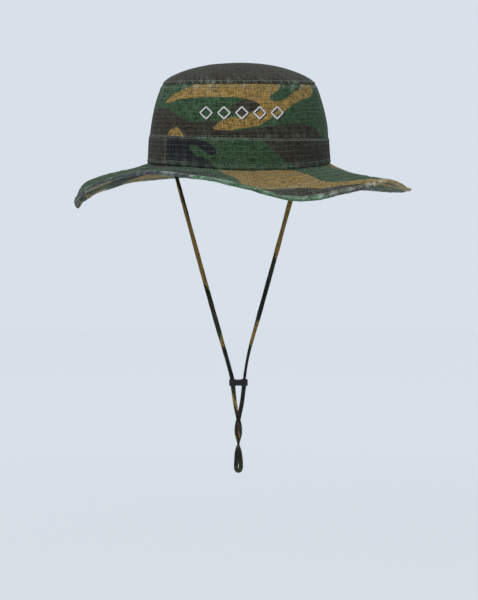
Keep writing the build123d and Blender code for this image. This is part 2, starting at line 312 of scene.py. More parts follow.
def droop_at(bearing):
    """The edge's droop at any bearing, on a smooth closed curve through the chosen points."""
    angles = np.array([a for a, d in EDGE_DROOP], float)
    droops = np.array([d for a, d in EDGE_DROOP])
    count = len(angles)
    turned = np.asarray(bearing, float) % 360
    i = np.searchsorted(angles, turned, side="right") - 1
    a = [angles[(i + k) % count] + 360 * ((i + k) // count) for k in (-1, 0, 1, 2)]
    d = [droops[(i + k) % count] for k in (-1, 0, 1, 2)]
    span = a[2] - a[1]
    t = (turned - a[1]) / span
    leave = (d[2] - d[0]) / (a[2] - a[0]) * span
    arrive = (d[3] - d[1]) / (a[3] - a[1]) * span
    rise = (3 - 2 * t) * t * t
    return d[1] * (1 - rise) + d[2] * rise + leave * t * (1 - t) ** 2 - arrive * t * t * (1 - t)


def seam_sag(bearing):
    """How far the seam of the brim hangs below its plane, which it does only at the front."""
    from_front = (np.asarray(bearing, float) + 180) % 360 - 180
    return SEAM_SAG * np.exp(-(((from_front - 12) / 40) ** 2))


def brim_section(bearing, station):
    """How far out from the seam and how far below it the brim is, in millimetres."""
    droop = droop_at(bearing)
    curl = ease(CURL_DROOPS[0], CURL_DROOPS[1], droop)
    off = ((np.asarray(bearing, float) - EARLY_BEARING + 180) % 360 - 180) / EARLY_SPREAD
    slope = PLAIN_SLOPE + (EARLY_SLOPE - PLAIN_SLOPE) * np.exp(-off * off)
    flat = slope * station + (1 - slope) * station**2
    share = flat * (1 - curl) + np.interp(station, CURL[:, 0], CURL[:, 2]) * curl
    out = station * (1 - curl) + np.interp(station, CURL[:, 0], CURL[:, 1]) * curl
    turn = np.radians(bearing)
    ripple = smooth_noise(stack(160 * np.cos(turn), 160 * np.sin(turn), station * 40), 26, 5) * 1.3 * station**2
    sag = seam_sag(bearing) * np.clip(1 - station, 0, 1) ** 1.5
    return (np.sqrt(BRIM_WIDTH**2 - droop**2) + CLOTH) * out, droop * share - ripple + sag


def brim_point(bearing, station, lift):
    """A point of the brim: station 0 is the seam, 1 is the edge, and lift is square to the cloth."""
    reach, drop = brim_section(bearing, station)
    next_reach, next_drop = brim_section(bearing, np.asarray(station) + 0.02)
    tilt = np.arctan2(next_drop - drop, next_reach - reach)
    return oval(MOUTH - CLOTH, bearing, lift * np.cos(tilt) - drop, reach + lift * np.sin(tilt))


print("droop at front, right, back, left", np.round(droop_at([0, 90, 180, 270]), 1))

# %% [markdown]
# A panel is given as its visible face. Its other face lies one cloth thickness behind it, and a rim
# joins the two, also round any hole, so each panel is a closed solid as real cloth is. Each point
# keeps its place on the flat cloth, in millimetres, for the weave and the print.
# %% Closed cloth panels
def face_normals(grid, closed):
    if closed:
        across = np.roll(grid, -1, 1) - np.roll(grid, 1, 1)
    else:
        across = np.gradient(grid, axis=1)
    along = np.gradient(grid, axis=0)
    normal = np.cross(across, along)
    return normal / np.maximum(np.linalg.norm(normal, axis=-1, keepdims=True), 1e-9)


def new_piece(name, points, faces, fields):
    mesh = bpy.data.meshes.new(name)
    mesh.from_pydata((np.asarray(points) * MM).tolist(), [], faces)
    for key, values in fields.items():
        mesh.attributes.new(key, "FLOAT", "POINT").data.foreach_set("value", np.asarray(values, np.float32))
    mesh.polygons.foreach_set("use_smooth", [True] * len(mesh.polygons))
    mesh.update()
    piece = bpy.data.objects.new(name, mesh)
    bpy.context.scene.collection.objects.link(piece)
    return piece


def cloth_panel(name, grid, thickness, fields, closed=False, keep=None, middle=None):
    """A closed solid from the grid of its visible face; middle closes the last row round a point."""
    rows, columns = grid.shape[:2]
    normal = face_normals(grid, closed)
    back = grid - normal * thickness
    index = np.arange(rows * columns).reshape(rows, columns)
    right = np.roll(index, -1, 1) if closed else index[:, 1:]
    left = index if closed else index[:, :-1]
    quads = np.stack([left[:-1], right[:-1], right[1:], left[1:]], -1)
    quads = quads[keep] if keep is not None else quads.reshape(-1, 4)
    points = [grid.reshape(-1, 3), back.reshape(-1, 3)]
    faces = quads.tolist()
    shift = rows * columns
    if middle is not None:
        tips = np.stack([left[-1], right[-1], np.full(left.shape[1], 2 * shift)], -1).tolist()
        points += [np.array([middle]), np.array([middle]) - (0, 0, thickness)]
        tips_back = [[b + shift, a + shift, 2 * shift + 1] for a, b, tip in tips]
    edges = np.concatenate([quads[:, [k, (k + 1) % 4]] for k in range(4)])
    key = np.sort(edges, 1) @ np.array([2 * shift, 1])
    unique, first, counts = np.unique(key, return_index=True, return_counts=True)
    rim = edges[first[counts == 1]]
    if middle is not None:
        last = set(index[-1].tolist())
        rim = np.array([edge for edge in rim.tolist() if not (edge[0] in last and edge[1] in last)])
    faces += (quads[:, ::-1] + shift).tolist()
    faces += np.stack([rim[:, 1], rim[:, 0], rim[:, 0] + shift, rim[:, 1] + shift], -1).tolist()
    if middle is not None:
        faces += tips + tips_back
    ends = [0.0, 0.0] if middle is not None else []
    flat = {k: np.concatenate([v.ravel(), v.ravel(), [v[-1].mean()] * len(ends)]) for k, v in fields.items()}
    piece = new_piece(name, np.concatenate(points), faces, flat)
    used = set(quads.ravel().tolist())
    if len(used) < shift:
        drop_loose_points(piece)
    return piece


def drop_loose_points(piece):
    import bmesh
    work = bmesh.new()
    work.from_mesh(piece.data)
    bmesh.ops.delete(work, geom=[v for v in work.verts if not v.link_faces], context="VERTS")
    work.to_mesh(piece.data)
    work.free()


print("panels are closed solids with a front, a back and a rim")

# %% [markdown]
# ## The print
# Woodland camouflage is printed in four inks. Green is the ground, brown goes over it, then tan,
# then black. Each ink is kept as a distance in millimetres: above zero the cloth is inked. The shapes
# on the front of the hat are listed outlines; round the sides and back they give way to
# random blots of the same size.
# %% Outlines of the inks
# on the crown and the band: across and up, in millimetres
WALL_PRINT = {
    "tan": [
        [(-70, 56), (-65, 62), (-58, 66), (-49, 70), (-42, 73), (-37, 78), (34, 78), (36, 70), (30, 66),
         (26, 63), (25, 60), (29, 58), (36, 58), (42, 61), (47, 66), (53, 69), (58, 78), (66, 76), (67, 66),
         (66, 63), (58, 60), (50, 57), (45, 54), (39, 49), (29, 44), (21, 40), (16, 36), (0, 34), (-12, 32),
         (-27, 33), (-23, 37), (-17, 42), (-9, 44), (0, 44), (8, 48), (15, 52), (17, 55), (12, 58), (0, 61),
         (-9, 62), (-32, 62), (-46, 61), (-57, 60), (-63, 57)],
        [(-68, 24), (-66, 31), (-62, 34), (-58, 35), (-55, 31), (-49, 23)],
    ],
    "brown": [
        [(-11, 52), (-6, 56), (0, 59), (8, 60), (14, 58), (18, 54), (17, 51), (12, 48), (6, 45), (-1, 44), (-8, 48)],
        [(-92, 48), (-80, 50), (-75, 52), (-69, 52), (-63, 49), (-58, 46), (-52, 42), (-46, 40), (-36, 40),
         (-18, 41), (-20, 32), (0, 32), (13, 34), (28, 36), (41, 38), (54, 38), (61, 37), (68, 34), (73, 29),
         (77, 22), (75, 18), (-92, 18)],
    ],
    "black": [],
}
BAND_PRINT = {
    "tan": [],
    "brown": [
        [(-96, 32), (-66, 32), (-66, 12), (-65, 4), (-62, -4), (-96, -4)],
        [(12, 28), (17, 24), (23, 20), (30, 14), (37, 9), (44, 4), (53, 0), (56, -4), (96, -4), (96, 32), (60, 32)],
    ],
    "black": [
        [(-68, 32), (-54, 30), (-40, 25), (-30, 22), (-24, 18), (-22, 14), (-25, 11), (-32, 14), (-40, 18),
         (-46, 20), (-47, 17), (-45, 14), (-41, 10), (-34, 9), (-29, 7), (-26, 4), (-23, -4), (-60, -4),
         (-64, 6), (-68, 12)],
        [(6, 27), (12, 27), (10, 21), (8, 21)],
    ],
}
# on the brim: bearing in degrees and station
BRIM_PRINT = {
    "tan": [
        [(-14, 0.16), (-6, 0.04), (4, -0.1), (26, -0.1), (31, 0.06), (33, 0.36), (31, 0.6), (37, 0.72), (46, 0.8),
         (54, 0.98), (46, 0.95), (40, 0.88), (34, 0.82), (28, 0.82), (23, 0.7), (13, 0.72), (8, 0.86), (2, 1.0), (-1, 0.96),
         (-2, 0.7), (-6, 0.58)],
        [(-104, 0.72), (-96, 0.6), (-84, 0.56), (-80, 0.66), (-88, 0.78), (-98, 0.9)],
        [(64, -0.1), (112, -0.1), (112, 0.3), (92, 0.36), (76, 0.26), (68, 0.1)],
    ],
    "brown": [
        [(-1, 1.1), (2, 0.98), (8, 0.84), (12, 0.71), (23, 0.68), (28, 0.8), (34, 0.8), (40, 0.83), (50, 1.1)],
        [(-64, -0.1), (-46, -0.1), (-47, 0.1), (-52, 0.3), (-60, 0.34)],
    ],
    "black": [[(-34, 1.1), (-30, 0.84), (-24, 0.66), (-17, 0.6), (-11, 0.64), (-7, 0.9), (-6, 1.1)]],
}
INKS = ("brown", "tan", "black")
print("outlines on wall, band and brim", sum(len(p) for s in (WALL_PRINT, BAND_PRINT, BRIM_PRINT) for p in s.values()))

# %% [markdown]
# An outline's corners are rounded by cutting them twice, as Chaikin's rule does. The distance to an
# outline is the nearest distance to any of its sides, with a plus sign inside.
# %% Distance to an outline
BLOT = 40.0  # size of the random blots, mm
BLOT_LIMITS = {"brown": 0.02, "tan": 0.26, "black": 0.38}


def rounded(outline):
    points = np.array(outline, float)
    for _ in range(2):
        following = np.roll(points, -1, 0)
        points = np.stack([0.75 * points + 0.25 * following, 0.25 * points + 0.75 * following], 1).reshape(-1, 2)
    return points


def distance_inside(x, y, outline):
    corners = rounded(outline)
    place = stack(x, y)
    nearest = np.full(place.shape[:-1], 1e9)
    inside = np.zeros(place.shape[:-1], bool)
    for (ax, ay), (bx, by) in zip(corners, np.roll(corners, -1, 0)):
        dx, dy = bx - ax, by - ay
        t = np.clip(((place[..., 0] - ax) * dx + (place[..., 1] - ay) * dy) / max(dx * dx + dy * dy, 1e-9), 0, 1)
        nearest = np.minimum(nearest, np.hypot(place[..., 0] - ax - t * dx, place[..., 1] - ay - t * dy))
        crosses = (ay > place[..., 1]) != (by > place[..., 1])
        if dy:
            inside ^= crosses & (place[..., 0] < dx * (place[..., 1] - ay) / dy + ax)
    return np.where(inside, nearest, -nearest)


def blots(points, ink, seed):
    """Random ink in long level shapes, as the distance inside it."""
    spread = points / (1.35, 1.1, 0.62)
    number = seed + 10 * INKS.index(ink)
    warp = stack(*[smooth_noise(spread, 26, number + k) for k in (3, 5, 7)]) * 9
    value = smooth_noise(spread + warp, BLOT, number) + 0.35 * smooth_noise(spread, BLOT / 2.6, number + 1)
    return (value - BLOT_LIMITS[ink]) * BLOT * 0.45


def printed(points, seed, outlines=None, x=None, y=None, drawn=None):
    """The three ink fields of a panel: drawn is 1 where the outlines hold and 0 where blots do."""
    fields = {}
    for ink in INKS:
        field = blots(points, ink, seed)
        if outlines is not None:
            shape = np.full(field.shape, -12.0)
            for outline in outlines[ink]:
                shape = np.maximum(shape, distance_inside(x, y, outline))
            field = field * (1 - drawn) + shape * drawn
        fields["ink_" + ink] = np.clip(field, -12, 12)
    return fields


print("inks", INKS)

# %% [markdown]
# ## Ripstop cotton, printed and garment washed
# Ripstop is a plain weave with a thicker thread every few millimetres each way, which shows as a
# fine raised grid. Washing rubs the print off the high threads, folds and seams, so the eye sees
# pale flecks along the threads and frosted puckers. Cotton scatters light widely: roughness near
# 0.9, IOR 1.5, and a little sheen from the fuzz. The threads are 0.3 mm apart, too fine to show in
# the whole view, so the flecks are drawn about 1 mm long and wider than one thread.
# %% Ripstop material
RIPSTOP_GRID = 4.2  # mm between the thick threads
THREAD_FLECK = 1.2  # mm, drawn coarser than the 0.3 mm threads
PRINT_PALETTE = {"green": "#2a4029", "brown": "#2c271f", "tan": "#7b6233", "black": "#15161b"}
FADED_PALETTE = {"green": "#3d5a40", "brown": "#3f3a35", "tan": "#846b41", "black": "#2b2d34"}


def streaks(tree, u, v, along, across, seed):
    """Flecks stretched along one thread direction, 0 to 1."""
    place = add(tree, "ShaderNodeCombineXYZ", X=scaled(tree, u, 1 / along), Y=scaled(tree, v, 1 / across), Z=seed)
    noise = add(tree, "ShaderNodeTexNoise", Vector=place.outputs[0], Scale=1.0, Detail=2.0, Roughness=0.6)
    return noise.outputs[0]


def scaled(tree, value, factor):
    return add(tree, "ShaderNodeMath", {"operation": "MULTIPLY"}, i0=value, i1=factor).outputs[0]


def thick_thread(tree, coordinate):
    """1 on the ripstop's thick threads and 0 between them."""
    turns = add(tree, "ShaderNodeMath", {"operation": "FRACT"}, i0=scaled(tree, coordinate, 1 / RIPSTOP_GRID))
    away = add(tree, "ShaderNodeMath", {"operation": "SUBTRACT"}, i0=turns.outputs[0], i1=0.5)
    gap = add(tree, "ShaderNodeMath", {"operation": "ABSOLUTE"}, i0=away.outputs[0])
    band = add(tree, "ShaderNodeMapRange", {"interpolation_type": "SMOOTHSTEP"}, Value=gap.outputs[0])
    band.inputs["From Min"].default_value = 0.05
    band.inputs["From Max"].default_value = 0.14
    band.inputs["To Min"].default_value = 1.0
    band.inputs["To Max"].default_value = 0.0
    return band.outputs[0]


def mix_colour(tree, factor, a, b, blend="MIX"):
    node = add(tree, "ShaderNodeMix", {"data_type": "RGBA", "blend_type": blend})
    for socket, value in ((node.inputs[0], factor), (node.inputs[6], a), (node.inputs[7], b)):
        if isinstance(value, bpy.types.NodeSocket):
            tree.links.new(value, socket)
        else:
            socket.default_value = value
    return node.outputs[2]


def make_ripstop(name, palette, fade="#8f958c", fade_gain=0.75):
    material, tree, shader = new_material(name)
    u, v, wear = [add(tree, "ShaderNodeAttribute", {"attribute_name": k}).outputs["Fac"] for k in ("cloth_u", "cloth_v", "wear")]
    level = streaks(tree, u, v, 7.0, THREAD_FLECK, 0.0)
    upright = streaks(tree, u, v, THREAD_FLECK, 6.0, 3.0)
    patchy = streaks(tree, u, v, 14.0, 14.0, 6.0)
    ragged = add(tree, "ShaderNodeMath", {"operation": "SUBTRACT"}, i0=streaks(tree, u, v, 1.4, 1.1, 9.0), i1=0.5)
    colour = linear(palette["green"])
    for ink in INKS:
        field = add(tree, "ShaderNodeAttribute", {"attribute_name": "ink_" + ink}).outputs["Fac"]
        edge = add(tree, "ShaderNodeMath", {"operation": "MULTIPLY_ADD"}, i0=ragged.outputs[0], i1=1.3, i2=field)
        inked = add(tree, "ShaderNodeMapRange", {"interpolation_type": "SMOOTHSTEP"}, Value=edge.outputs[0])
        inked.inputs["From Min"].default_value = -0.25
        inked.inputs["From Max"].default_value = 0.25
        colour = mix_colour(tree, inked.outputs[0], colour, linear(palette[ink]))
    # flecks: the threads take the ink unevenly
    flecks = add(tree, "ShaderNodeMath", {"operation": "ADD"}, i0=level, i1=upright)
    tone = add(tree, "ShaderNodeMapRange", Value=flecks.outputs[0])
    for key, value in (("From Min", 0.76), ("From Max", 1.24), ("To Min", 0.28), ("To Max", 1.74)):
        tone.inputs[key].default_value = value
    grey = add(tree, "ShaderNodeCombineColor", i0=tone.outputs[0], i1=tone.outputs[0], i2=tone.outputs[0])
    colour = mix_colour(tree, 1.0, colour, grey.outputs[0], "MULTIPLY")
    # fading: on the thick threads a little, on worn places a lot, everywhere in patches
    grid = add(tree, "ShaderNodeMath", {"operation": "MULTIPLY_ADD"}, i0=thick_thread(tree, u), i1=0.45, i2=thick_thread(tree, v))
    rubbed = add(tree, "ShaderNodeMath", {"operation": "MULTIPLY"}, i0=grid.outputs[0], i1=scaled(tree, level, 0.13))
    uneven = add(tree, "ShaderNodeMapRange", Value=flecks.outputs[0])
    for key, value in (("From Min", 0.7), ("From Max", 1.35), ("To Min", 0.25), ("To Max", 1.0)):
        uneven.inputs[key].default_value = value
    worn = add(tree, "ShaderNodeMath", {"operation": "MULTIPLY"}, i0=wear, i1=uneven.outputs[0])
    worn = add(tree, "ShaderNodeMath", {"operation": "MULTIPLY"}, i0=worn.outputs[0], i1=fade_gain)
    haze = add(tree, "ShaderNodeMapRange", Value=patchy)
    for key, value in (("From Min", 0.45), ("From Max", 0.75), ("To Min", 0.0), ("To Max", 0.05)):
        haze.inputs[key].default_value = value
    total = add(tree, "ShaderNodeMath", {"operation": "ADD"}, i0=worn.outputs[0], i1=rubbed.outputs[0])
    total = add(tree, "ShaderNodeMath", {"operation": "ADD", "use_clamp": True}, i0=total.outputs[0], i1=haze.outputs[0])
    colour = mix_colour(tree, total.outputs[0], colour, linear(fade))
    tree.links.new(colour, shader.inputs["Base Color"])
    raised = add(tree, "ShaderNodeMath", {"operation": "MULTIPLY_ADD"}, i0=grid.outputs[0], i1=0.7, i2=flecks.outputs[0])
    bump = add(tree, "ShaderNodeBump", Height=raised.outputs[0], Strength=0.55, Distance=0.25 * MM)
    tree.links.new(bump.outputs[0], shader.inputs["Normal"])
    shader.inputs["Roughness"].default_value = 0.9
    shader.inputs["IOR"].default_value = 1.5
    # the fuzz breaks up the mirror part of the light, so little of it is left
    shader.inputs["Specular IOR Level"].default_value = 0.12
    shader.inputs["Sheen Weight"].default_value = 0.02
    return material


ripstop = make_ripstop("camo_ripstop_cotton", PRINT_PALETTE, "#8d9a8c", 0.62)
faded_ripstop = make_ripstop("faded_ripstop_strip", FADED_PALETTE, "#aab8aa", 0.72)
print("materials", ripstop.name, faded_ripstop.name)

# %% [markdown]
# ## The crown
# The wall is sewn in two halves that meet at the sides. Near the top seam the thread has shrunk in
# the wash and gathers the cloth into fine puckers that run away from the seam and die out within a
# centimetre. The worn crest of each pucker is pale, so the same field lifts the cloth and fades it.
# %% Puckers
def puckers(along, away, seed, cell=3.4, reach=6.0):
    """Fine ridges square to a seam, from -1 to 1, that die out away from it."""
    slanted = along + 0.35 * away
    ridge = smooth_noise(stack(slanted, away * 0.25, seed), cell, seed)
    ridge = ridge + 0.6 * smooth_noise(stack(slanted, away * 0.3, seed + 4), cell * 0.55, seed + 1)
    return ridge * np.exp(-away / reach)


def finish_piece(piece, material, node, body="hat"):
    piece.data.materials.append(material)
    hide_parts(node)
    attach(piece, body)
    return piece


# %% [markdown]
# The wall's rows are a millimetre apart. The cloth swells softly between the seams, sinks under the
# band, and turns in at the top, where the top panel meets it. The ventilation holes are cut out of
# the grid, under the eyelets' flanges.
# %% Wall of the crown
HALF_STEPS = 300
HOLE_RADIUS = 3.9
SEAM_TURN = 2.2  # mm over which the cloth turns in at a seam


def vent_centres():
    points = np.array([v.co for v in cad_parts["vent_eyelets"].data.vertices]) / MM
    centres = []
    for side in (-1, 1):
        pair = points[points[:, 0] * side > 0]
        between = (pair[:, 1].min() + pair[:, 1].max()) / 2
        for group in (pair[pair[:, 1] < between], pair[pair[:, 1] > between]):
            centres.append((group.min(0) + group.max(0)) / 2)
    return centres


def away_from_vents(points):
    distance = np.full(points.shape[:-1], 1e9)
    for centre in vent_centres():
        distance = np.minimum(distance, np.linalg.norm(points - centre, axis=-1))
    return distance


def make_wall(name, middle_bearing, seed):
    bearing = np.linspace(-90, 90, HALF_STEPS + 1)[None, :] + middle_bearing
    z = np.linspace(0.0, WALL_HEIGHT - 0.1, 75)[:, None]
    half = wall_half_width(z)
    plain = oval(half, bearing, z)
    along = np.radians(bearing) * half * 1.07
    below_seam = WALL_HEIGHT - z
    above_band = np.maximum(z - BAND_HEIGHT, 0)
    side_seam = np.abs(np.abs(bearing - middle_bearing) - 90) * 1.6
    top_pucker = puckers(along, below_seam + 0 * along, seed, reach=5.0)
    band_pucker = puckers(along, above_band + 0 * along, seed + 2, reach=3.0) * ease(-1, 1, z - BAND_HEIGHT)
    side_pucker = puckers(z + 0 * along, side_seam + 0 * z, seed + 4, reach=4.0)
    swell = smooth_noise(plain, 30, seed) * 0.75 + smooth_noise(plain, 12, seed + 1) * 0.18
    lift = swell * ease(0, 12, below_seam) * ease(0, 8, above_band)
    lift = lift + 0.42 * top_pucker + 0.15 * band_pucker + 0.2 * side_pucker
    lift = lift - 0.35 * ease(0, -4, z - BAND_HEIGHT) - 0.45 * hump(below_seam, SEAM_TURN * 0.5) - 0.5 * hump(side_seam, 1.2)
    lift = lift + 0.2 * hump(below_seam - 2.4, 1.6) + 0.3 * smooth_noise(stack(along, 0, 5), 9, seed) * hump(below_seam, 4)
    lift = lift * ease(0, 6, away_from_vents(plain) - 5)
    grid = oval(half + lift, bearing, z)
    crest = np.clip(top_pucker * 1.4, 0, 1) + np.clip(band_pucker, 0, 1) * 0.6 + np.clip(side_pucker, 0, 1) * 0.5
    fields = {"cloth_u": along, "cloth_v": z + 0 * along}
    fields["wear"] = np.clip(crest + 0.12 * hump(below_seam - 2, 1.2) + 0.5 * hump(side_seam - 1, 0.8), 0, 1)
    drawn = ease(-20, 30, -plain[..., 1]) if middle_bearing == 0 else None
    outlines = WALL_PRINT if middle_bearing == 0 else None
    fields.update(printed(plain, 21, outlines, plain[..., 0], plain[..., 2], drawn))
    quad_middle = (grid[:-1, :-1] + grid[1:, 1:]) / 2
    keep = away_from_vents(quad_middle) > HOLE_RADIUS
    panel = cloth_panel(name + "_cloth", grid, CLOTH * 0.8, fields, keep=keep)
    finish_piece(panel, ripstop, name)
    print(panel.name, len(panel.data.vertices), "points")


make_wall("crown_side_front", 0, 31)
make_wall("crown_side_back", 180, 37)

# %% [markdown]
# The oval top is one flat-cut panel that domes because the wall holds its edge in. It is darker than
# the rest of the front, since a large brown shape falls on it. Its rim is the most puckered seam of
# the crown.
# %% Top of the crown
TOP_STEPS = 480


def make_top():
    bearing = (np.arange(TOP_STEPS) * 360 / TOP_STEPS)[None, :]
    share = np.linspace(1, 0.02, 74)[:, None]
    half = SHOULDER * share
    height = DOME_RISE * np.maximum(1 - share**2, 0) ** DOME_FULLNESS
    along = np.radians((bearing + 180) % 360 - 180) * SHOULDER * 1.07
    inward = SHOULDER * (1 - share) + height * 0.5
    plain = oval(half, bearing, DOME_BASE + height)
    rim_pucker = puckers(along, inward + 0 * along, 51, reach=6.0) * ease(0.02, 0.2, share)
    swell = smooth_noise(plain, 34, 52) * 0.9 + smooth_noise(plain, 13, 53) * 0.25
    up = swell * ease(0, 14, inward) + 0.4 * rim_pucker
    out = -0.5 * hump(inward, 1.0) + 0.3 * rim_pucker
    grid = oval(half + out * share, bearing, DOME_BASE + height + up * (1 - 0.4 * share))
    fields = {"cloth_u": plain[..., 0], "cloth_v": plain[..., 1]}
    fields["wear"] = np.clip(np.clip(rim_pucker * 1.3, 0, 1) + 0.08 * hump(inward - 2, 1.5), 0, 1)
    fields.update(printed(plain * (1, 1, 0), 61))
    front_patch = np.clip((-plain[..., 1] + 18 + 14 * smooth_noise(plain, 45, 3)) * 0.5, -12, 12)
    fields["ink_brown"] = np.maximum(fields["ink_brown"], front_patch)
    fields["ink_tan"] = np.minimum(fields["ink_tan"], -front_patch)
    fields["ink_black"] = np.minimum(fields["ink_black"], 4 - front_patch)
    peak = (0, 0, grid[-1, :, 2].mean())
    panel = cloth_panel("crown_top_cloth", grid, CLOTH * 0.8, fields, closed=True, middle=peak)
    finish_piece(panel, ripstop, "crown_top")
    print(panel.name, len(panel.data.vertices), "points")


make_top()

# %% [markdown]
# ## The band
# A folded strip of the same cloth covers the foot of the wall. Its top edge is a fold, rubbed pale,
# and it runs a little higher on the left. The strip's ends lap over each other on the left of the
# front.
# %% Band
LAP_BEARING = -53.0
BAND_THICKNESS = 0.7


def band_top(bearing):
    tilt = -1.7 * np.sin(np.radians(bearing))
    return BAND_HEIGHT - 0.2 + tilt + 0.25 * smooth_noise(stack(bearing, 0, 0), 21, 8)


def make_band():
    bearing = (np.arange(600) * 0.6)[None, :]
    share = np.linspace(0, 1, 28)[:, None]
    top = band_top(bearing)
    z = 0.3 + (top - 0.3) * share
    half = wall_half_width(z)
    plain = oval(half, bearing, z)
    along = np.radians((bearing + 180) % 360 - 180) * half * 1.07
    below_top = top - z
    foot = puckers(along, z, 71, reach=5.0)
    head = puckers(along, below_top, 73, reach=3.0)
    lap = (bearing - LAP_BEARING + 180) % 360 - 180
    lap_side = lap * 1.55
    swell = smooth_noise(plain, 24, 74) * 0.5 + smooth_noise(plain, 9, 75) * 0.16
    lift = 0.75 + swell * ease(0, 6, below_top) * ease(0, 8, z) + 0.24 * foot + 0.16 * head
    lift = lift + 0.32 * ease(0.5, -0.5, lap_side) * ease(-14, -9, lap_side)
    lift = lift - 0.45 * hump(below_top, 0.7) - 0.8 * hump(z, 1.2) - 0.28 * hump(z - 4.4, 0.8)
    lift = lift - 0.22 * hump(below_top - 1.8, 0.6)
    sag = seam_sag(bearing)
    tuck = 0.6 * ease(0.6, 1.6, sag)  # the foot reaches the sagging brim, so no light shows between
    grid = oval(half + lift, bearing, z - (sag + tuck) * (1 - share))
    fields = {"cloth_u": along + 0 * z, "cloth_v": z + 0 * along}
    rubbed = 0.6 * hump(below_top, 0.7) + 0.35 * hump(z - 3.4, 0.6) + 0.45 * hump(lap_side, 0.8) + 0.12 * hump(z - 1, 1.2)
    fields["wear"] = np.clip(rubbed + np.clip(foot, 0, 1) * 0.5 + np.clip(head, 0, 1) * 0.5, 0, 1)
    drawn = ease(-20, 30, -plain[..., 1])
    fields.update(printed(plain, 24, BAND_PRINT, plain[..., 0], plain[..., 2], drawn))
    panel = cloth_panel("hat_band_cloth", grid, BAND_THICKNESS, fields, closed=True)
    finish_piece(panel, ripstop, "hat_band")


make_band()

# %% [markdown]
# ## The brim
# Two plies of cloth are quilted over an interlining by rows of stitches that follow the edge. Each
# row sinks a shallow groove, and the cloth puckers across it. The brim's wave is all in the shape
# formula; here only the small relief is added.
# %% Brim plies
ROW_STATIONS = [0.12, 0.26, 0.4, 0.54, 0.68, 0.82]
BINDING_START = 1 - 7.0 / BRIM_WIDTH


def brim_relief(bearing, station, seed):
    """Height of the quilting and its wear, at points of the brim."""
    along = np.radians(bearing) * (MOUTH * 1.07 + 76 * station)
    outward = station * BRIM_WIDTH
    relief = smooth_noise(stack(along, outward, 0), 11, seed) * 0.16
    wear = 0.0
    for i, row in enumerate(ROW_STATIONS):
        away = np.abs(outward - row * BRIM_WIDTH)
        pucker = puckers(along, away, seed + 3 * i, cell=3.0, reach=3.0)
        relief = relief - 0.3 * hump(away, 0.7) + 0.13 * pucker
        wear = wear + 0.3 * np.clip(pucker, 0, 1)
    seam = puckers(along, outward, seed + 40, cell=3.6, reach=7.0)
    edge = puckers(along, np.abs(BRIM_WIDTH - outward), seed + 44, cell=3.6, reach=9.0)
    crease = smooth_noise(stack(along * 0.5 + outward, outward * 0.2, 3), 5.5, seed + 50)
    relief = relief + 0.5 * seam + 0.5 * edge + 0.35 * crease
    wear = wear + 0.9 * np.clip(seam, 0, 1) + 0.9 * np.clip(edge, 0, 1) + 0.8 * np.clip(crease - 0.25, 0, 1)
    return along, outward, np.maximum(relief, -0.4), np.clip(wear, 0, 1)


def make_brim_ply(node, middle_bearing, lift, side, seed):
    bearing = np.linspace(-90, 90, 421)[None, :] + middle_bearing
    station = np.linspace(0.995, 0.0, 66)[:, None]
    if side < 0:
        station = station[::-1]
    along, outward, relief, wear = brim_relief(bearing, station, seed)
    grid = brim_point(bearing, station, lift + side * relief)
    plain = brim_point(bearing, station, 0.0)
    if side < 0:
        wear = np.clip(wear + 0.45 * ease(56, 74, outward), 0, 1)
    fields = {"cloth_u": along + 0 * outward, "cloth_v": outward + 0 * along, "wear": wear}
    from_front = (bearing + 180) % 360 - 180
    if side > 0:
        scale = 2.2
        outlines = {k: [[(b * scale, s * BRIM_WIDTH) for b, s in o] for o in v] for k, v in BRIM_PRINT.items()}
        drawn = ease(128, 108, np.abs(from_front)) + 0 * station
        fields.update(printed(plain * (1, 1, 0.3), 27, outlines, from_front * scale, station * BRIM_WIDTH, drawn))
    else:
        fields.update(printed(plain * (1, 1, 0.3), 47))
    panel = cloth_panel(node + "_cloth", grid, BRIM_CLOTH * 0.8, fields)
    finish_piece(panel, ripstop, node)


make_brim_ply("brim_top_front", 0, -0.15, 1, 81)
make_brim_ply("brim_top_back", 180, -0.15, 1, 83)
make_brim_ply("brim_under_front", 0, -2.4, -1, 85)
make_brim_ply("brim_under_back", 180, -2.4, -1, 87)

# %% [markdown]
# The interlining is a plain sheet between the plies. Only its place matters to the eye, since it
# keeps the brim from looking hollow where the mouth shows its inner edge.
# %% Interlining
def make_plain_cloth(name, hex_colour, thread, roughness=0.9, sheen=0.1):
    """A plain woven cloth: level and upright threads of one colour."""
    material, tree, shader = new_material(name)
    u, v = [add(tree, "ShaderNodeAttribute", {"attribute_name": k}).outputs["Fac"] for k in ("cloth_u", "cloth_v")]
    level = streaks(tree, u, v, thread * 6, thread, 1.0)
    upright = streaks(tree, u, v, thread, thread * 6, 2.0)
    flecks = add(tree, "ShaderNodeMath", {"operation": "ADD"}, i0=level, i1=upright)
    tone = add(tree, "ShaderNodeMapRange", Value=flecks.outputs[0])
    for key, value in (("From Min", 0.7), ("From Max", 1.3), ("To Min", 0.0), ("To Max", 1.0)):
        tone.inputs[key].default_value = value
    base = linear(hex_colour)
    dark = tuple(c * 0.62 for c in base[:3]) + (1.0,)
    light = tuple(min(c * 1.4, 1.0) for c in base[:3]) + (1.0,)
    tree.links.new(mix_colour(tree, tone.outputs[0], dark, light), shader.inputs["Base Color"])
    bump = add(tree, "ShaderNodeBump", Height=flecks.outputs[0], Strength=0.5, Distance=0.2 * MM)
    tree.links.new(bump.outputs[0], shader.inputs["Normal"])
    shader.inputs["Roughness"].default_value = roughness
    shader.inputs["Sheen Weight"].default_value = sheen
    return material


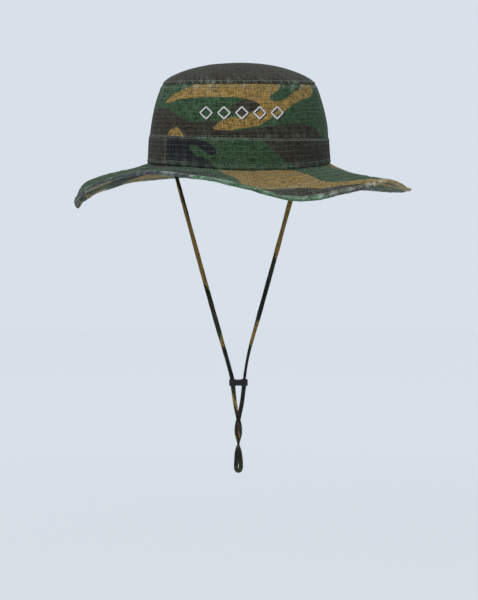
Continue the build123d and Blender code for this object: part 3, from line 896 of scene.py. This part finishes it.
def make_interlining():
    bearing = (np.arange(360) * 1.0)[None, :]
    station = np.linspace(0.93, 0.004, 24)[:, None]
    grid = brim_point(bearing, station, -1.2)
    fields = {"cloth_u": np.radians(bearing) * 130 + 0 * station, "cloth_v": station * BRIM_WIDTH + 0 * bearing}
    panel = cloth_panel("brim_interlining", grid, 0.4, fields, closed=True)
    finish_piece(panel, make_plain_cloth("non_woven_interlining", "#c9c6ba", 0.8), "brim_stiffener")
    print(panel.name, len(panel.data.vertices), "points")


make_interlining()

# %% [markdown]
# ## The bound edge
# A strip is folded over the brim's edge and sewn through. It is the most worn part of the hat: every
# pucker has lost its ink. Its section is a flat leaf above, a round nose and a leaf below, and the
# puckers lean the way the sewing machine dragged the strip.
# %% Edge binding
NOSE = 1.5  # half the folded strip's thickness at the edge, mm
LEAF = 6.4  # how far each leaf reaches in, mm


def binding_section():
    """Points (outward, upward) from the lower leaf's inner edge round the nose to the upper one's."""
    leaf = np.linspace(-LEAF, -NOSE, 12)
    turn = np.radians(np.linspace(-90, 90, 15)[1:-1])
    lower = [(x, -NOSE) for x in leaf]
    nose = [(-NOSE + NOSE * math.cos(a) * 1.25, NOSE * math.sin(a)) for a in turn]
    upper = [(x, NOSE) for x in leaf[::-1]]
    return np.array(lower + nose + upper)


def binding_ink(bearing, arc, seed):
    """Ink on the strip: listed lengths of brown, black and tan over the front, blots elsewhere."""
    b = (bearing + 180) % 360 - 180
    lean = b + arc * 0.5
    spans = {"black": [(-64, -12)], "brown": [(-96, -60), (31, 48)], "tan": [(48, 92), (-92, -86)]}
    drawn = ease(96, 84, np.abs(b)) + 0 * arc
    fields = {}
    for ink in INKS:
        shape = np.full(lean.shape, -9.0)
        for start, stop in spans[ink]:
            shape = np.maximum(shape, np.minimum(lean - start, stop - lean) * 2.2)
        place = stack(np.radians(b) * 160, arc * 3, 0 * b)
        fields["ink_" + ink] = np.clip(shape * drawn + blots(place, ink, seed) * (1 - drawn), -12, 12)
    return fields


def make_binding():
    bearing = (np.arange(900) * 0.4)[None, :]
    section = binding_section()
    arc = np.concatenate([[0], np.cumsum(np.linalg.norm(np.diff(section, axis=0), axis=1))])[:, None]
    out, up = section[:, 0][:, None], section[:, 1][:, None]
    along = np.radians((bearing + 180) % 360 - 180) * 160
    slant = along + np.where(up >= 0, 1, -1) * 0.8 * out
    ridge = smooth_noise(stack(slant, arc * 0.25, 0), 3.2, 91) + 0.6 * smooth_noise(stack(slant, arc * 0.4, 3), 1.9, 92)
    at_rim = ease(0, 1.2, out + LEAF)
    swell = 0.32 * ridge * at_rim + 0.25 * smooth_noise(stack(along, 0, 0), 14, 93)
    swell = swell - 0.45 * hump(out + LEAF - 1.3, 0.5) - 0.3 * hump(out + LEAF, 0.5)
    station = 1 + (out + 0.9 + np.clip(swell, -0.6, 0.8) * (out > -NOSE)) / BRIM_WIDTH
    lift = -1.3 + up * (1 + 0.3 * swell / NOSE) + np.sign(up) * 0.25 * swell
    grid = brim_point(bearing, station, lift)
    fields = {"cloth_u": along + 0 * arc, "cloth_v": arc + 0 * along}
    ridges = 0.8 * hump(out + LEAF - 0.9, 0.8) + 1.1 * hump(out + NOSE, 1.1)
    below = ease(0.3, -0.6, up)
    fields["wear"] = np.clip(0.1 + ridges * (0.6 + ridge) * (1 - 0.5 * below) + 0.35 * np.clip(ridge, 0, 1), 0, 1)
    fields.update(binding_ink(bearing + 0 * arc, arc + 0 * bearing, 95))
    panel = cloth_panel("brim_binding_strip", grid, 0.5, fields, closed=True)
    finish_piece(panel, faded_ripstop, "brim_edge_binding")
    print(panel.name, "strip", round(arc[-1, 0], 1), "mm wide")


make_binding()

# %% [markdown]
# ## Inside the hat
# A twill sweatband lies against the wall, bias tape covers the seams, and a blank satin label is
# sewn on at the back. Each is a closed strip that follows the wall.
# %% Sweatband, tapes and label
def wall_strip(name, bearings, heights, inset, thickness, closed=False, relief=0.0):
    """A strip on the inside of the wall, facing the head."""
    bearing = bearings[None, :]
    z = heights[::-1][:, None]
    half = wall_half_width(np.maximum(z, 0)) - inset
    along = np.radians(bearing) * MOUTH * 1.07
    bump = relief * smooth_noise(stack(along, z, 0), 8, 7)
    grid = oval(half + bump, bearing, z)
    fields = {"cloth_u": along + 0 * z, "cloth_v": z + 0 * along, "wear": 0 * (z + along)}
    return cloth_panel(name, grid, thickness, fields, closed=closed)


def make_lining():
    sweat_depth = CLOTH + 1.15
    ring = np.arange(360) * 1.0
    twill = make_plain_cloth("cotton_twill_sweatband", "#3a3d30", 0.7)
    heights = np.linspace(sweat_low[2], sweat_high[2], 24)
    sweatband = wall_strip("sweatband_twill", ring, heights, sweat_depth, 0.85, True, 0.12)
    finish_piece(sweatband, twill, "sweatband")
    tape = make_plain_cloth("cotton_bias_tape", "#31382c", 0.7)
    tape_low, tape_high = node_box("crown_top_tape")
    heights = np.linspace(tape_low[2], tape_high[2], 9)
    top_tape = wall_strip("crown_top_tape_cotton", ring, heights, CLOTH + 0.7, 0.45, True, 0.1)
    finish_piece(top_tape, tape, "crown_top_tape")
    side_low, side_high = node_box("side_seam_tapes")
    heights = np.linspace(side_low[2], side_high[2], 30)
    for side, name in ((90, "side_tape_right"), (-90, "side_tape_left")):
        bearings = side + np.linspace(-2.6, 2.6, 9)
        strip = wall_strip(name, bearings, heights, CLOTH + 0.7, 0.45, False, 0.1)
        finish_piece(strip, tape, "side_seam_tapes")
    label_low, label_high = node_box("blank_label")
    turn = math.degrees(label_high[0] / MOUTH)
    heights = np.linspace(label_low[2], label_high[2], 16)
    satin = make_plain_cloth("woven_satin_label", "#d8d6cc", 0.4, 0.55, 0.2)
    label = wall_strip("satin_label", 180 + np.linspace(-turn, turn, 24), heights, sweat_depth + 0.65, 0.4)
    finish_piece(label, satin, "blank_label")
    print("lining pieces done")


make_lining()

# %% [markdown]
# ## The chin cord
# The cord is a strip of the same ripstop, folded to a flat ribbon 4.5 mm wide and sewn down its
# middle. It hangs as a V from two points behind the ears. The weight of the slider pulls the
# strands nearly straight, and below it the loop has twisted once round itself. Each route is a
# smooth NURBS curve, and the ribbon's mesh follows points read back from that curve.
# %% Routes of the cord
CORD_WIDTH = 4.5
HANG_Y = 62.5
SLIDER_X = 1.2
LEFT_ROUTE = [(-63.3, 0, -3.0), (-63.0, 0, -4.9), (-27.5, 0, -137.5), (-4.9, 0, -216.5), (-4.5, 0, -221.0)]
RIGHT_ROUTE = [
    (62.3, 0, -3.0), (62.0, 0, -4.9), (38.0, 0, -94.5), (19.2, 0, -163.0), (11.0, 0, -192.0),
    (7.1, 0, -216.5), (6.9, 0, -221.0),
]
TAIL_DOWN = [
    (-5.7, 0, -223.0), (-4.6, -0.6, -234.5), (-3.0, -1.2, -246.0), (-0.6, -1.7, -257.0),
    (1.9, -1.0, -268.0), (1.5, 1.2, -279.0), (-1.2, 1.5, -290.5), (-2.2, 0.9, -301.0), (-2.6, 0, -311.8),
]
TAIL_ROUTE = TAIL_DOWN + [(-x, -y, z) for x, y, z in reversed(TAIL_DOWN)]


def read_route(name, route, dx=0.0):
    """Points 1 mm apart along the smooth curve that a route controls."""
    curve = bpy.data.curves.new(name, "CURVE")
    curve.dimensions = "3D"
    curve.resolution_u = 24
    spline = curve.splines.new("NURBS")
    spline.points.add(len(route) - 1)
    for point, (x, y, z) in zip(spline.points, route):
        point.co = ((x + dx) * MM, (y + HANG_Y) * MM, z * MM, 1)
    spline.order_u = 3
    spline.use_endpoint_u = True
    holder = bpy.data.objects.new(name, curve)
    mesh = bpy.data.meshes.new_from_object(holder)
    points = np.array([v.co for v in mesh.vertices]) / MM
    bpy.data.objects.remove(holder)
    length = np.concatenate([[0], np.cumsum(np.linalg.norm(np.diff(points, axis=0), axis=1))])
    even = np.linspace(0, length[-1], int(length[-1]) + 1)
    path = np.stack([np.interp(even, length, points[:, k]) for k in range(3)], -1)
    return path, even


print("cord routes", len(LEFT_ROUTE), len(RIGHT_ROUTE), len(TAIL_ROUTE), "points")

# %% [markdown]
# The ribbon's section is a flattened oval, a little thicker at its folded edges, with the sewing
# line sunk along the middle. It turns slowly about its own line, as a flat cord does, by angles
# given at a few places along it.
# %% Flat ribbon
RIBBON_HALF = CORD_WIDTH / 2
RIBBON_THICK = 0.85


def ribbon_section():
    turns = np.radians(np.arange(16) * 22.5)
    across = RIBBON_HALF * np.sign(np.cos(turns)) * np.abs(np.cos(turns)) ** 0.8
    proud = RIBBON_THICK * np.sign(np.sin(turns)) * np.abs(np.sin(turns)) ** 0.75
    proud = proud * (1 - 0.4 * np.exp(-((across / 0.45) ** 2)))
    return across, proud


def cord_ink_and_shadow(s, across, spans, seed):
    """Ink along the ribbon, and painted shadow at a strand's top in the black ink: spans give start, end and lean in
    mm; between them the ribbon is dark.
    """
    fields = {}
    for ink in INKS:
        shape = np.full(s.shape, -6.0)
        for start, stop, lean in spans[ink]:
            at = s + lean * across
            shape = np.maximum(shape, np.minimum(at - start, stop - at))
        fields["ink_" + ink] = np.clip(shape, -6, 6)
    return fields


def ribbon(name, path, s, turns, spans, seed):
    tangent = np.gradient(path, axis=0)
    tangent /= np.linalg.norm(tangent, axis=1, keepdims=True)
    angle = np.radians(np.interp(s, np.linspace(0, s[-1], len(turns)), turns))
    face = np.stack([np.sin(angle), -np.cos(angle), 0 * angle], -1)
    face -= tangent * (face * tangent).sum(1, keepdims=True)
    face /= np.linalg.norm(face, axis=1, keepdims=True)
    wide = np.cross(tangent, face)
    across, proud = ribbon_section()
    place = stack(s, 0, seed)
    width = 1 + 0.1 * smooth_noise(place, 17, seed) + 0.05 * smooth_noise(place, 5, seed + 1)
    crimp = 1 + 0.25 * smooth_noise(place, 2.6, seed + 2)
    rings = path[:, None] + wide[:, None] * across[None, :, None] * width[:, None, None]
    rings = rings + face[:, None] * (proud[None, :] * crimp[:, None])[..., None]
    rows, columns = rings.shape[:2]
    index = np.arange(rows * columns).reshape(rows, columns)
    right = np.roll(index, -1, 1)
    faces = np.stack([index[:-1], index[1:], right[1:], right[:-1]], -1).reshape(-1, 4).tolist()
    faces += [index[0].tolist(), index[-1][::-1].tolist()]
    along = s[:, None] + 0 * across[None, :]
    side = across[None, :] + 0 * s[:, None]
    fields = {"cloth_u": side.ravel(), "cloth_v": along.ravel()}
    crest = smooth_noise(stack(along, side, seed), 2.4, seed + 5)
    fields["wear"] = np.clip(0.22 * np.abs(side) / RIBBON_HALF + 0.35 * crest, 0, 1).ravel()
    fields.update({k: v.ravel() for k, v in cord_ink_and_shadow(along, side, spans, seed).items()})
    return new_piece(name, rings.reshape(-1, 3), faces, fields)


# The first black span of each strand, at its top just under the brim's edge, is painted shadow where the brim shades
# the cord, not print. The other spans are the cord's print.
LEFT_INK_AND_SHADOW = {
    "brown": [(136, 170, 2)],
    "tan": [(20, 128, 1.5), (178, 190, -2), (208, 212, 4)],
    "black": [(-9, 40, 15), (126, 140, 3), (190, 260, 2)],
}
RIGHT_INK_AND_SHADOW = {
    "brown": [(96, 118, 3), (196, 206, -2)],
    "tan": [(26, 95, 2), (160, 189, -4)],
    "black": [(-9, 28, 2), (120, 160, 3), (189, 260, 2)],
}
TAIL_INK = {
    "brown": [(-9, 14, 2), (38, 62, 4), (84, 104, 0), (126, 150, 3)],
    "tan": [(14, 26, 3), (57, 63, 5), (118, 121, 4)],
    "black": [(26, 40, 2), (62, 84, 3), (104, 118, 2), (152, 190, 2)],
}
print("ribbon section", ribbon_section()[0].shape[0], "points")

# %% [markdown]
# The two strands and the tail are ribbons laid along their routes, in the folded cord's cloth.
# %% Strands, tail and slider
cord_cloth = make_ripstop("folded_ripstop_cord", {**PRINT_PALETTE, "green": "#22301f", "brown": "#2b2720", "black": "#191714"}, "#6f6e64", 0.5)
slider_low, slider_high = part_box("cord_slider")


def make_strand(name, node, route, turns, spans, seed):
    path, s = read_route(name + "_route", route)
    piece = ribbon(name, path, s, turns, spans, seed)
    piece.data.materials.append(cord_cloth)
    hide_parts(node)
    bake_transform(piece)
    print(name, round(s[-1]), "mm")


def make_tail():
    path, s = read_route("tail_route", TAIL_ROUTE, SLIDER_X)
    down = [0, 10, 20, 34, 6, 18, 92, 160, 178]
    piece = ribbon("cord_tail_ribbon", path, s, down + [180] + down[::-1], TAIL_INK, 17)
    piece.data.materials.append(cord_cloth)
    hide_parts("cord_tail")
    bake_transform(piece)
    print("tail", round(s[-1]), "mm along both strands")


make_strand("cord_left_ribbon", "cord_left", LEFT_ROUTE, [44, 36, 20, 6, -6, 10, 24, 34], LEFT_INK_AND_SHADOW, 11)
make_strand("cord_right_ribbon", "cord_right", RIGHT_ROUTE, [0, -12, 8, -10, 6, 20, 48, 62], RIGHT_INK_AND_SHADOW, 13)
make_tail()

# %% [markdown]
# The slider is moulded nylon: dark all through, with a fine eroded texture from the mould and a soft
# shine. Its roughness varies a little where fingers have polished it.
# %% Nylon, brass and thread
def make_nylon():
    material, tree, shader = new_material("moulded_nylon_black")
    place = add(tree, "ShaderNodeTexCoord").outputs["Object"]
    fine = add(tree, "ShaderNodeTexNoise", Vector=place, Scale=1 / (0.35 * MM), Detail=3.0)
    broad = add(tree, "ShaderNodeTexNoise", Vector=place, Scale=1 / (4 * MM), Detail=2.0)
    shine = add(tree, "ShaderNodeMapRange", Value=broad.outputs[0])
    shine.inputs["To Min"].default_value = 0.26
    shine.inputs["To Max"].default_value = 0.5
    tree.links.new(shine.outputs[0], shader.inputs["Roughness"])
    tree.links.new(mix_colour(tree, fine.outputs[0], linear("#070708"), linear("#121214")), shader.inputs["Base Color"])
    bump = add(tree, "ShaderNodeBump", Height=fine.outputs[0], Strength=0.3, Distance=0.05 * MM)
    tree.links.new(bump.outputs[0], shader.inputs["Normal"])
    shader.inputs["IOR"].default_value = 1.53
    shader.inputs["Specular IOR Level"].default_value = 0.3
    return material


def make_blackened_brass():
    """Brass blackened in a bath: bare metal in small rubbed spots, a dull dark skin elsewhere."""
    material, tree, shader = new_material("blackened_brass")
    place = add(tree, "ShaderNodeTexCoord").outputs["Object"]
    rub = add(tree, "ShaderNodeTexNoise", Vector=place, Scale=1 / (1.2 * MM), Detail=4.0, Roughness=0.65)
    worn = add(tree, "ShaderNodeMapRange", Value=rub.outputs[0])
    worn.inputs["From Min"].default_value = 0.52
    worn.inputs["From Max"].default_value = 0.68
    tree.links.new(mix_colour(tree, worn.outputs[0], linear("#24211e"), linear("#8a744a")), shader.inputs["Base Color"])
    rough = add(tree, "ShaderNodeMapRange", Value=rub.outputs[0])
    rough.inputs["To Min"].default_value = 0.5
    rough.inputs["To Max"].default_value = 0.75
    tree.links.new(rough.outputs[0], shader.inputs["Roughness"])
    shader.inputs["Metallic"].default_value = 1.0
    return material


def make_thread(name, hex_colour, roughness=0.6):
    """Spun thread: two plies twisted together, lit along their twist."""
    material, tree, shader = new_material(name)
    place = add(tree, "ShaderNodeTexCoord").outputs["Object"]
    twist = add(tree, "ShaderNodeTexNoise", Vector=place, Scale=1 / (0.5 * MM), Detail=2.0)
    base = linear(hex_colour)
    dark = tuple(c * 0.6 for c in base[:3]) + (1.0,)
    tree.links.new(mix_colour(tree, twist.outputs[0], dark, base), shader.inputs["Base Color"])
    shader.inputs["Roughness"].default_value = roughness
    shader.inputs["Sheen Weight"].default_value = 0.15
    return material


def dress_cad_nodes():
    for node, material in (("cord_slider", make_nylon()), ("vent_eyelets", brass), ("vent_washers", brass)):
        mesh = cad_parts[node].data
        mesh.materials.clear()
        mesh.materials.append(material)
        mesh.polygons.foreach_set("material_index", [0] * len(mesh.polygons))
    print("CAD nodes dressed: slider, eyelets, washers")


brass = make_blackened_brass()
dress_cad_nodes()

# %% [markdown]
# ## Stitches
# Each stitch is a short arch of thread that dives into the cloth at both ends. One function lays
# stitches along any line of points, lifted along the cloth's own normal, and all stitches of one
# seam are one piece.
# %% Laying stitches
STITCH_LENGTH = 2.5
STITCH_PITCH = 3.2
THREAD_RADIUS = 0.24


def even_places(line, pitch):
    step = np.linalg.norm(np.diff(line, axis=0), axis=1)
    length = np.concatenate([[0], np.cumsum(step)])
    count = max(2, int(length[-1] / pitch))
    return (np.arange(count) + 0.5) * length[-1] / count, length


def lay_stitches(name, line, normal, pitch=STITCH_PITCH, size=STITCH_LENGTH, radius=THREAD_RADIUS, rise=0.16):
    """Arches of thread along a line of points with their cloth normals."""
    centres, length = even_places(line, pitch)
    arch = np.linspace(-0.5, 0.5, 6)
    ring = np.radians(np.arange(6) * 60)
    at = centres[:, None] + arch[None, :] * size
    spine = np.stack([np.interp(at, length, line[:, k]) for k in range(3)], -1)
    up = np.stack([np.interp(centres, length, normal[:, k]) for k in range(3)], -1)[:, None, :]
    spine = spine + up * (rise * (1 - (2 * np.abs(arch)) ** 3)[None, :, None] - 0.18)
    along = np.gradient(spine, axis=1)
    along /= np.linalg.norm(along, axis=-1, keepdims=True)
    across = np.cross(along, up + 0 * along)
    across /= np.linalg.norm(across, axis=-1, keepdims=True)
    thick = radius * np.array([0.7, 1, 1.05, 1.05, 1, 0.7])[None, :, None, None]
    circle = across[:, :, None] * np.cos(ring)[None, None, :, None]
    circle = circle + np.cross(across, along)[:, :, None] * np.sin(ring)[None, None, :, None]
    points = spine[:, :, None] + circle * thick
    count, rows, sides = points.shape[:3]
    index = np.arange(count * rows * sides).reshape(count, rows, sides)
    right = np.roll(index, -1, 2)
    faces = np.stack([index[:, :-1], right[:, :-1], right[:, 1:], index[:, 1:]], -1).reshape(-1, 4).tolist()
    faces += index[:, 0, ::-1].tolist() + index[:, -1].tolist()
    return new_piece(name, points.reshape(-1, 3), faces, {})


def sew(name, line, normal, material, **settings):
    piece = lay_stitches(name, line, normal, **settings)
    piece.data.materials.append(material)
    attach(piece, "hat")
    return piece


olive_thread = make_thread("spun_polyester_thread", "#6f7a63")
ROUND = np.linspace(0, 360, 721)
print("one stitch is", STITCH_LENGTH, "mm long")

# %% [markdown]
# The rows: one each side of the top seam, one under the band's top fold, one above its foot, rows
# round the brim, and two through the binding, above and below.
# %% Sewing the seams
def wall_row(name, heights, out):
    half = wall_half_width(heights)
    line = oval(half + out, ROUND, heights)
    normal = oval(1.0, ROUND, 0.12)
    sew(name, line, normal, olive_thread)


def brim_row(name, station, lift, up):
    line = brim_point(ROUND, station, lift)
    normal = np.tile((0.0, 0.0, up), (len(ROUND), 1))
    sew(name, line, normal, olive_thread)


def sew_hat():
    wall_row("stitches_under_top_seam", np.full(721, WALL_HEIGHT - 2.8), 0.35)
    share = 0.975
    height = DOME_RISE * (1 - share**2) ** DOME_FULLNESS
    rim = oval(SHOULDER * share + 0.3, ROUND, DOME_BASE + height)
    sew("stitches_over_top_seam", rim, oval(0.8, ROUND, 0.6), olive_thread)
    wall_row("stitches_band_top", band_top(ROUND) - 1.8, 0.62)
    wall_row("stitches_band_foot", 4.4 - seam_sag(ROUND) * 0.83, 0.55)
    for i, station in enumerate(ROW_STATIONS):
        brim_row(f"stitches_brim_top_{i + 1}", station, -0.4, 1.0)
        brim_row(f"stitches_brim_under_{i + 1}", station, -2.15, -1.0)
    inner = 1 + (0.9 - LEAF + 1.3) / BRIM_WIDTH
    brim_row("stitches_binding_top", inner, -1.3 + NOSE - 0.2, 1.0)
    brim_row("stitches_binding_under", inner, -1.3 - NOSE + 0.2, -1.0)
    line = oval(MOUTH - CLOTH - 2.3, ROUND, 27.0)
    sew("stitches_sweatband", line, -oval(1.0, ROUND, 0.0), olive_thread)


sew_hat()

# %% [markdown]
# ## The motif on the front
# The front carries a row of outlined lozenges in white satin stitch: short threads laid side by side
# across the outline, over a thin black shadow. The lozenges are a plain ornament.
# %% Satin-stitched lozenges
motif_low, motif_high = node_box("front_embroidery")
if motif_high[1] >= 0:
    raise ValueError("the motif's node is not on the front of the crown")
LOZENGE_COUNT = 5
LOZENGE_HALF = (motif_high[2] - motif_low[2]) / 2
LOZENGE_PITCH = (motif_high[0] - motif_low[0] - 2 * LOZENGE_HALF) / (LOZENGE_COUNT - 1)
SATIN_WIDTH = 1.5
SATIN_PITCH = 0.42


def on_front(x, z, out):
    """The point of the front wall at a place seen from the front."""
    half = wall_half_width(z)
    y = -DEPTH_RATIO * np.sqrt(half**2 - x**2) - out
    return stack(x, y, z)


def satin_outline(name, material, shift, out, width):
    threads = []
    middle = (motif_low[2] + motif_high[2]) / 2
    reach = LOZENGE_HALF - 0.9
    corners = np.array([(0, 1), (1, 0), (0, -1), (-1, 0), (0, 1)]) * reach
    for i in range(LOZENGE_COUNT):
        centre = np.array([(i - (LOZENGE_COUNT - 1) / 2) * LOZENGE_PITCH, middle]) + shift
        for a, b in zip(corners, corners[1:]):
            count = int(np.linalg.norm(b - a) / SATIN_PITCH)
            across = np.array([b[1] - a[1], a[0] - b[0]]) / np.linalg.norm(b - a) * width / 2
            for k in range(count):
                at = centre + a + (b - a) * (k + 0.5) / count
                threads.append((at - across, at + across))
    ends = np.array(threads)
    arch = np.linspace(0, 1, 5)
    flat = ends[:, :1] * (1 - arch)[None, :, None] + ends[:, 1:] * arch[None, :, None]
    rise = out + 0.5 * np.sin(np.pi * arch)[None, :]
    spine = on_front(flat[..., 0], flat[..., 1], rise - 0.25)
    along = np.gradient(spine, axis=1)
    along /= np.linalg.norm(along, axis=-1, keepdims=True)
    side = np.cross(along, (0.0, -1.0, 0.15))
    ring = np.radians(np.arange(5) * 72)
    circle = side[:, :, None] * np.cos(ring)[None, None, :, None]
    circle = circle + np.cross(side, along)[:, :, None] * np.sin(ring)[None, None, :, None]
    points = spine[:, :, None] + circle * 0.23
    index = np.arange(points[..., 0].size).reshape(points.shape[:3])
    right = np.roll(index, -1, 2)
    faces = np.stack([index[:, :-1], right[:, :-1], right[:, 1:], index[:, 1:]], -1).reshape(-1, 4).tolist()
    faces += index[:, 0, ::-1].tolist() + index[:, -1].tolist()
    piece = new_piece(name, points.reshape(-1, 3), faces, {})
    piece.data.materials.append(material)
    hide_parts("front_embroidery")
    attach(piece, "hat")
    print(name, len(ends), "threads")


satin_outline("motif_shadow_threads", make_thread("rayon_thread_black", "#17181c", 0.45), np.array([0.55, -0.55]), 0.35, 1.9)
satin_outline("motif_white_threads", make_thread("rayon_thread_white", "#e9e8e4", 0.4), np.array([0.0, 0.0]), 0.6, SATIN_WIDTH)

# %% [markdown]
# ## Where the cord is sewn in
# Each end of the cord lies flat on the sweatband under a bar tack, a block of zigzag stitching.
# %% Cord ends and bar tacks
def tab_frame(side):
    """Centre line of a cord end on the sweatband, its normal towards the head and its level tangent."""
    tab_low, tab_high = node_box("cord_end_tabs")
    x = -63.3 if side < 0 else 62.3
    z = np.linspace(tab_low[2] - 2.0, tab_high[2], 15)
    half = wall_half_width(np.maximum(z, 0)) - CLOTH - 2.1
    y = DEPTH_RATIO * np.sqrt(half**2 - x**2)
    line = stack(x, y, z)
    normal = np.array([-x / half[0] ** 2, -y[0] / (half[0] * DEPTH_RATIO) ** 2, 0])
    normal /= np.linalg.norm(normal)
    level = np.cross(normal, (0, 0, 1))
    return line, normal, level


def make_cord_end(name, side):
    line, normal, level = tab_frame(side)
    across = np.linspace(-1, 1, 7)
    grid = line[:, None] + level * (across * RIBBON_HALF)[None, :, None]
    grid = grid + normal * (0.75 - 0.25 * across**4)[None, :, None]
    s = line[:, 2][:, None] + 0 * across[None, :]
    fields = {"cloth_u": across[None, :] * RIBBON_HALF + 0 * s, "cloth_v": s, "wear": 0.15 + 0 * s}
    fields.update({"ink_brown": 3 + 0 * s, "ink_tan": -3 + 0 * s, "ink_black": s - 6})
    piece = cloth_panel(name, grid, 0.9, fields)
    finish_piece(piece, cord_cloth, "cord_end_tabs")


def make_bar_tack(name, side):
    line, normal, level = tab_frame(side)
    tack_low, tack_high = node_box("bar_tacks")
    zigzag = []
    count = 12
    for k in range(count + 1):
        z = tack_low[2] + (tack_high[2] - tack_low[2]) * k / count
        middle = np.array([np.interp(z, line[:, 2], line[:, i]) for i in range(3)])
        zigzag.append(middle + level * (RIBBON_HALF - 0.4) * (1 if k % 2 else -1) + normal * 1.0)
    path = np.array(zigzag)
    piece = lay_stitches(name, path, np.tile(normal, (len(path), 1)), 3.7, 3.5, 0.22, 0.14)
    finish_piece(piece, olive_thread, "bar_tacks")


for side, word in ((-1, "left"), (1, "right")):
    make_cord_end(f"cord_end_{word}", side)
    make_bar_tack(f"bar_tack_{word}", side)
print("cord ends sewn")
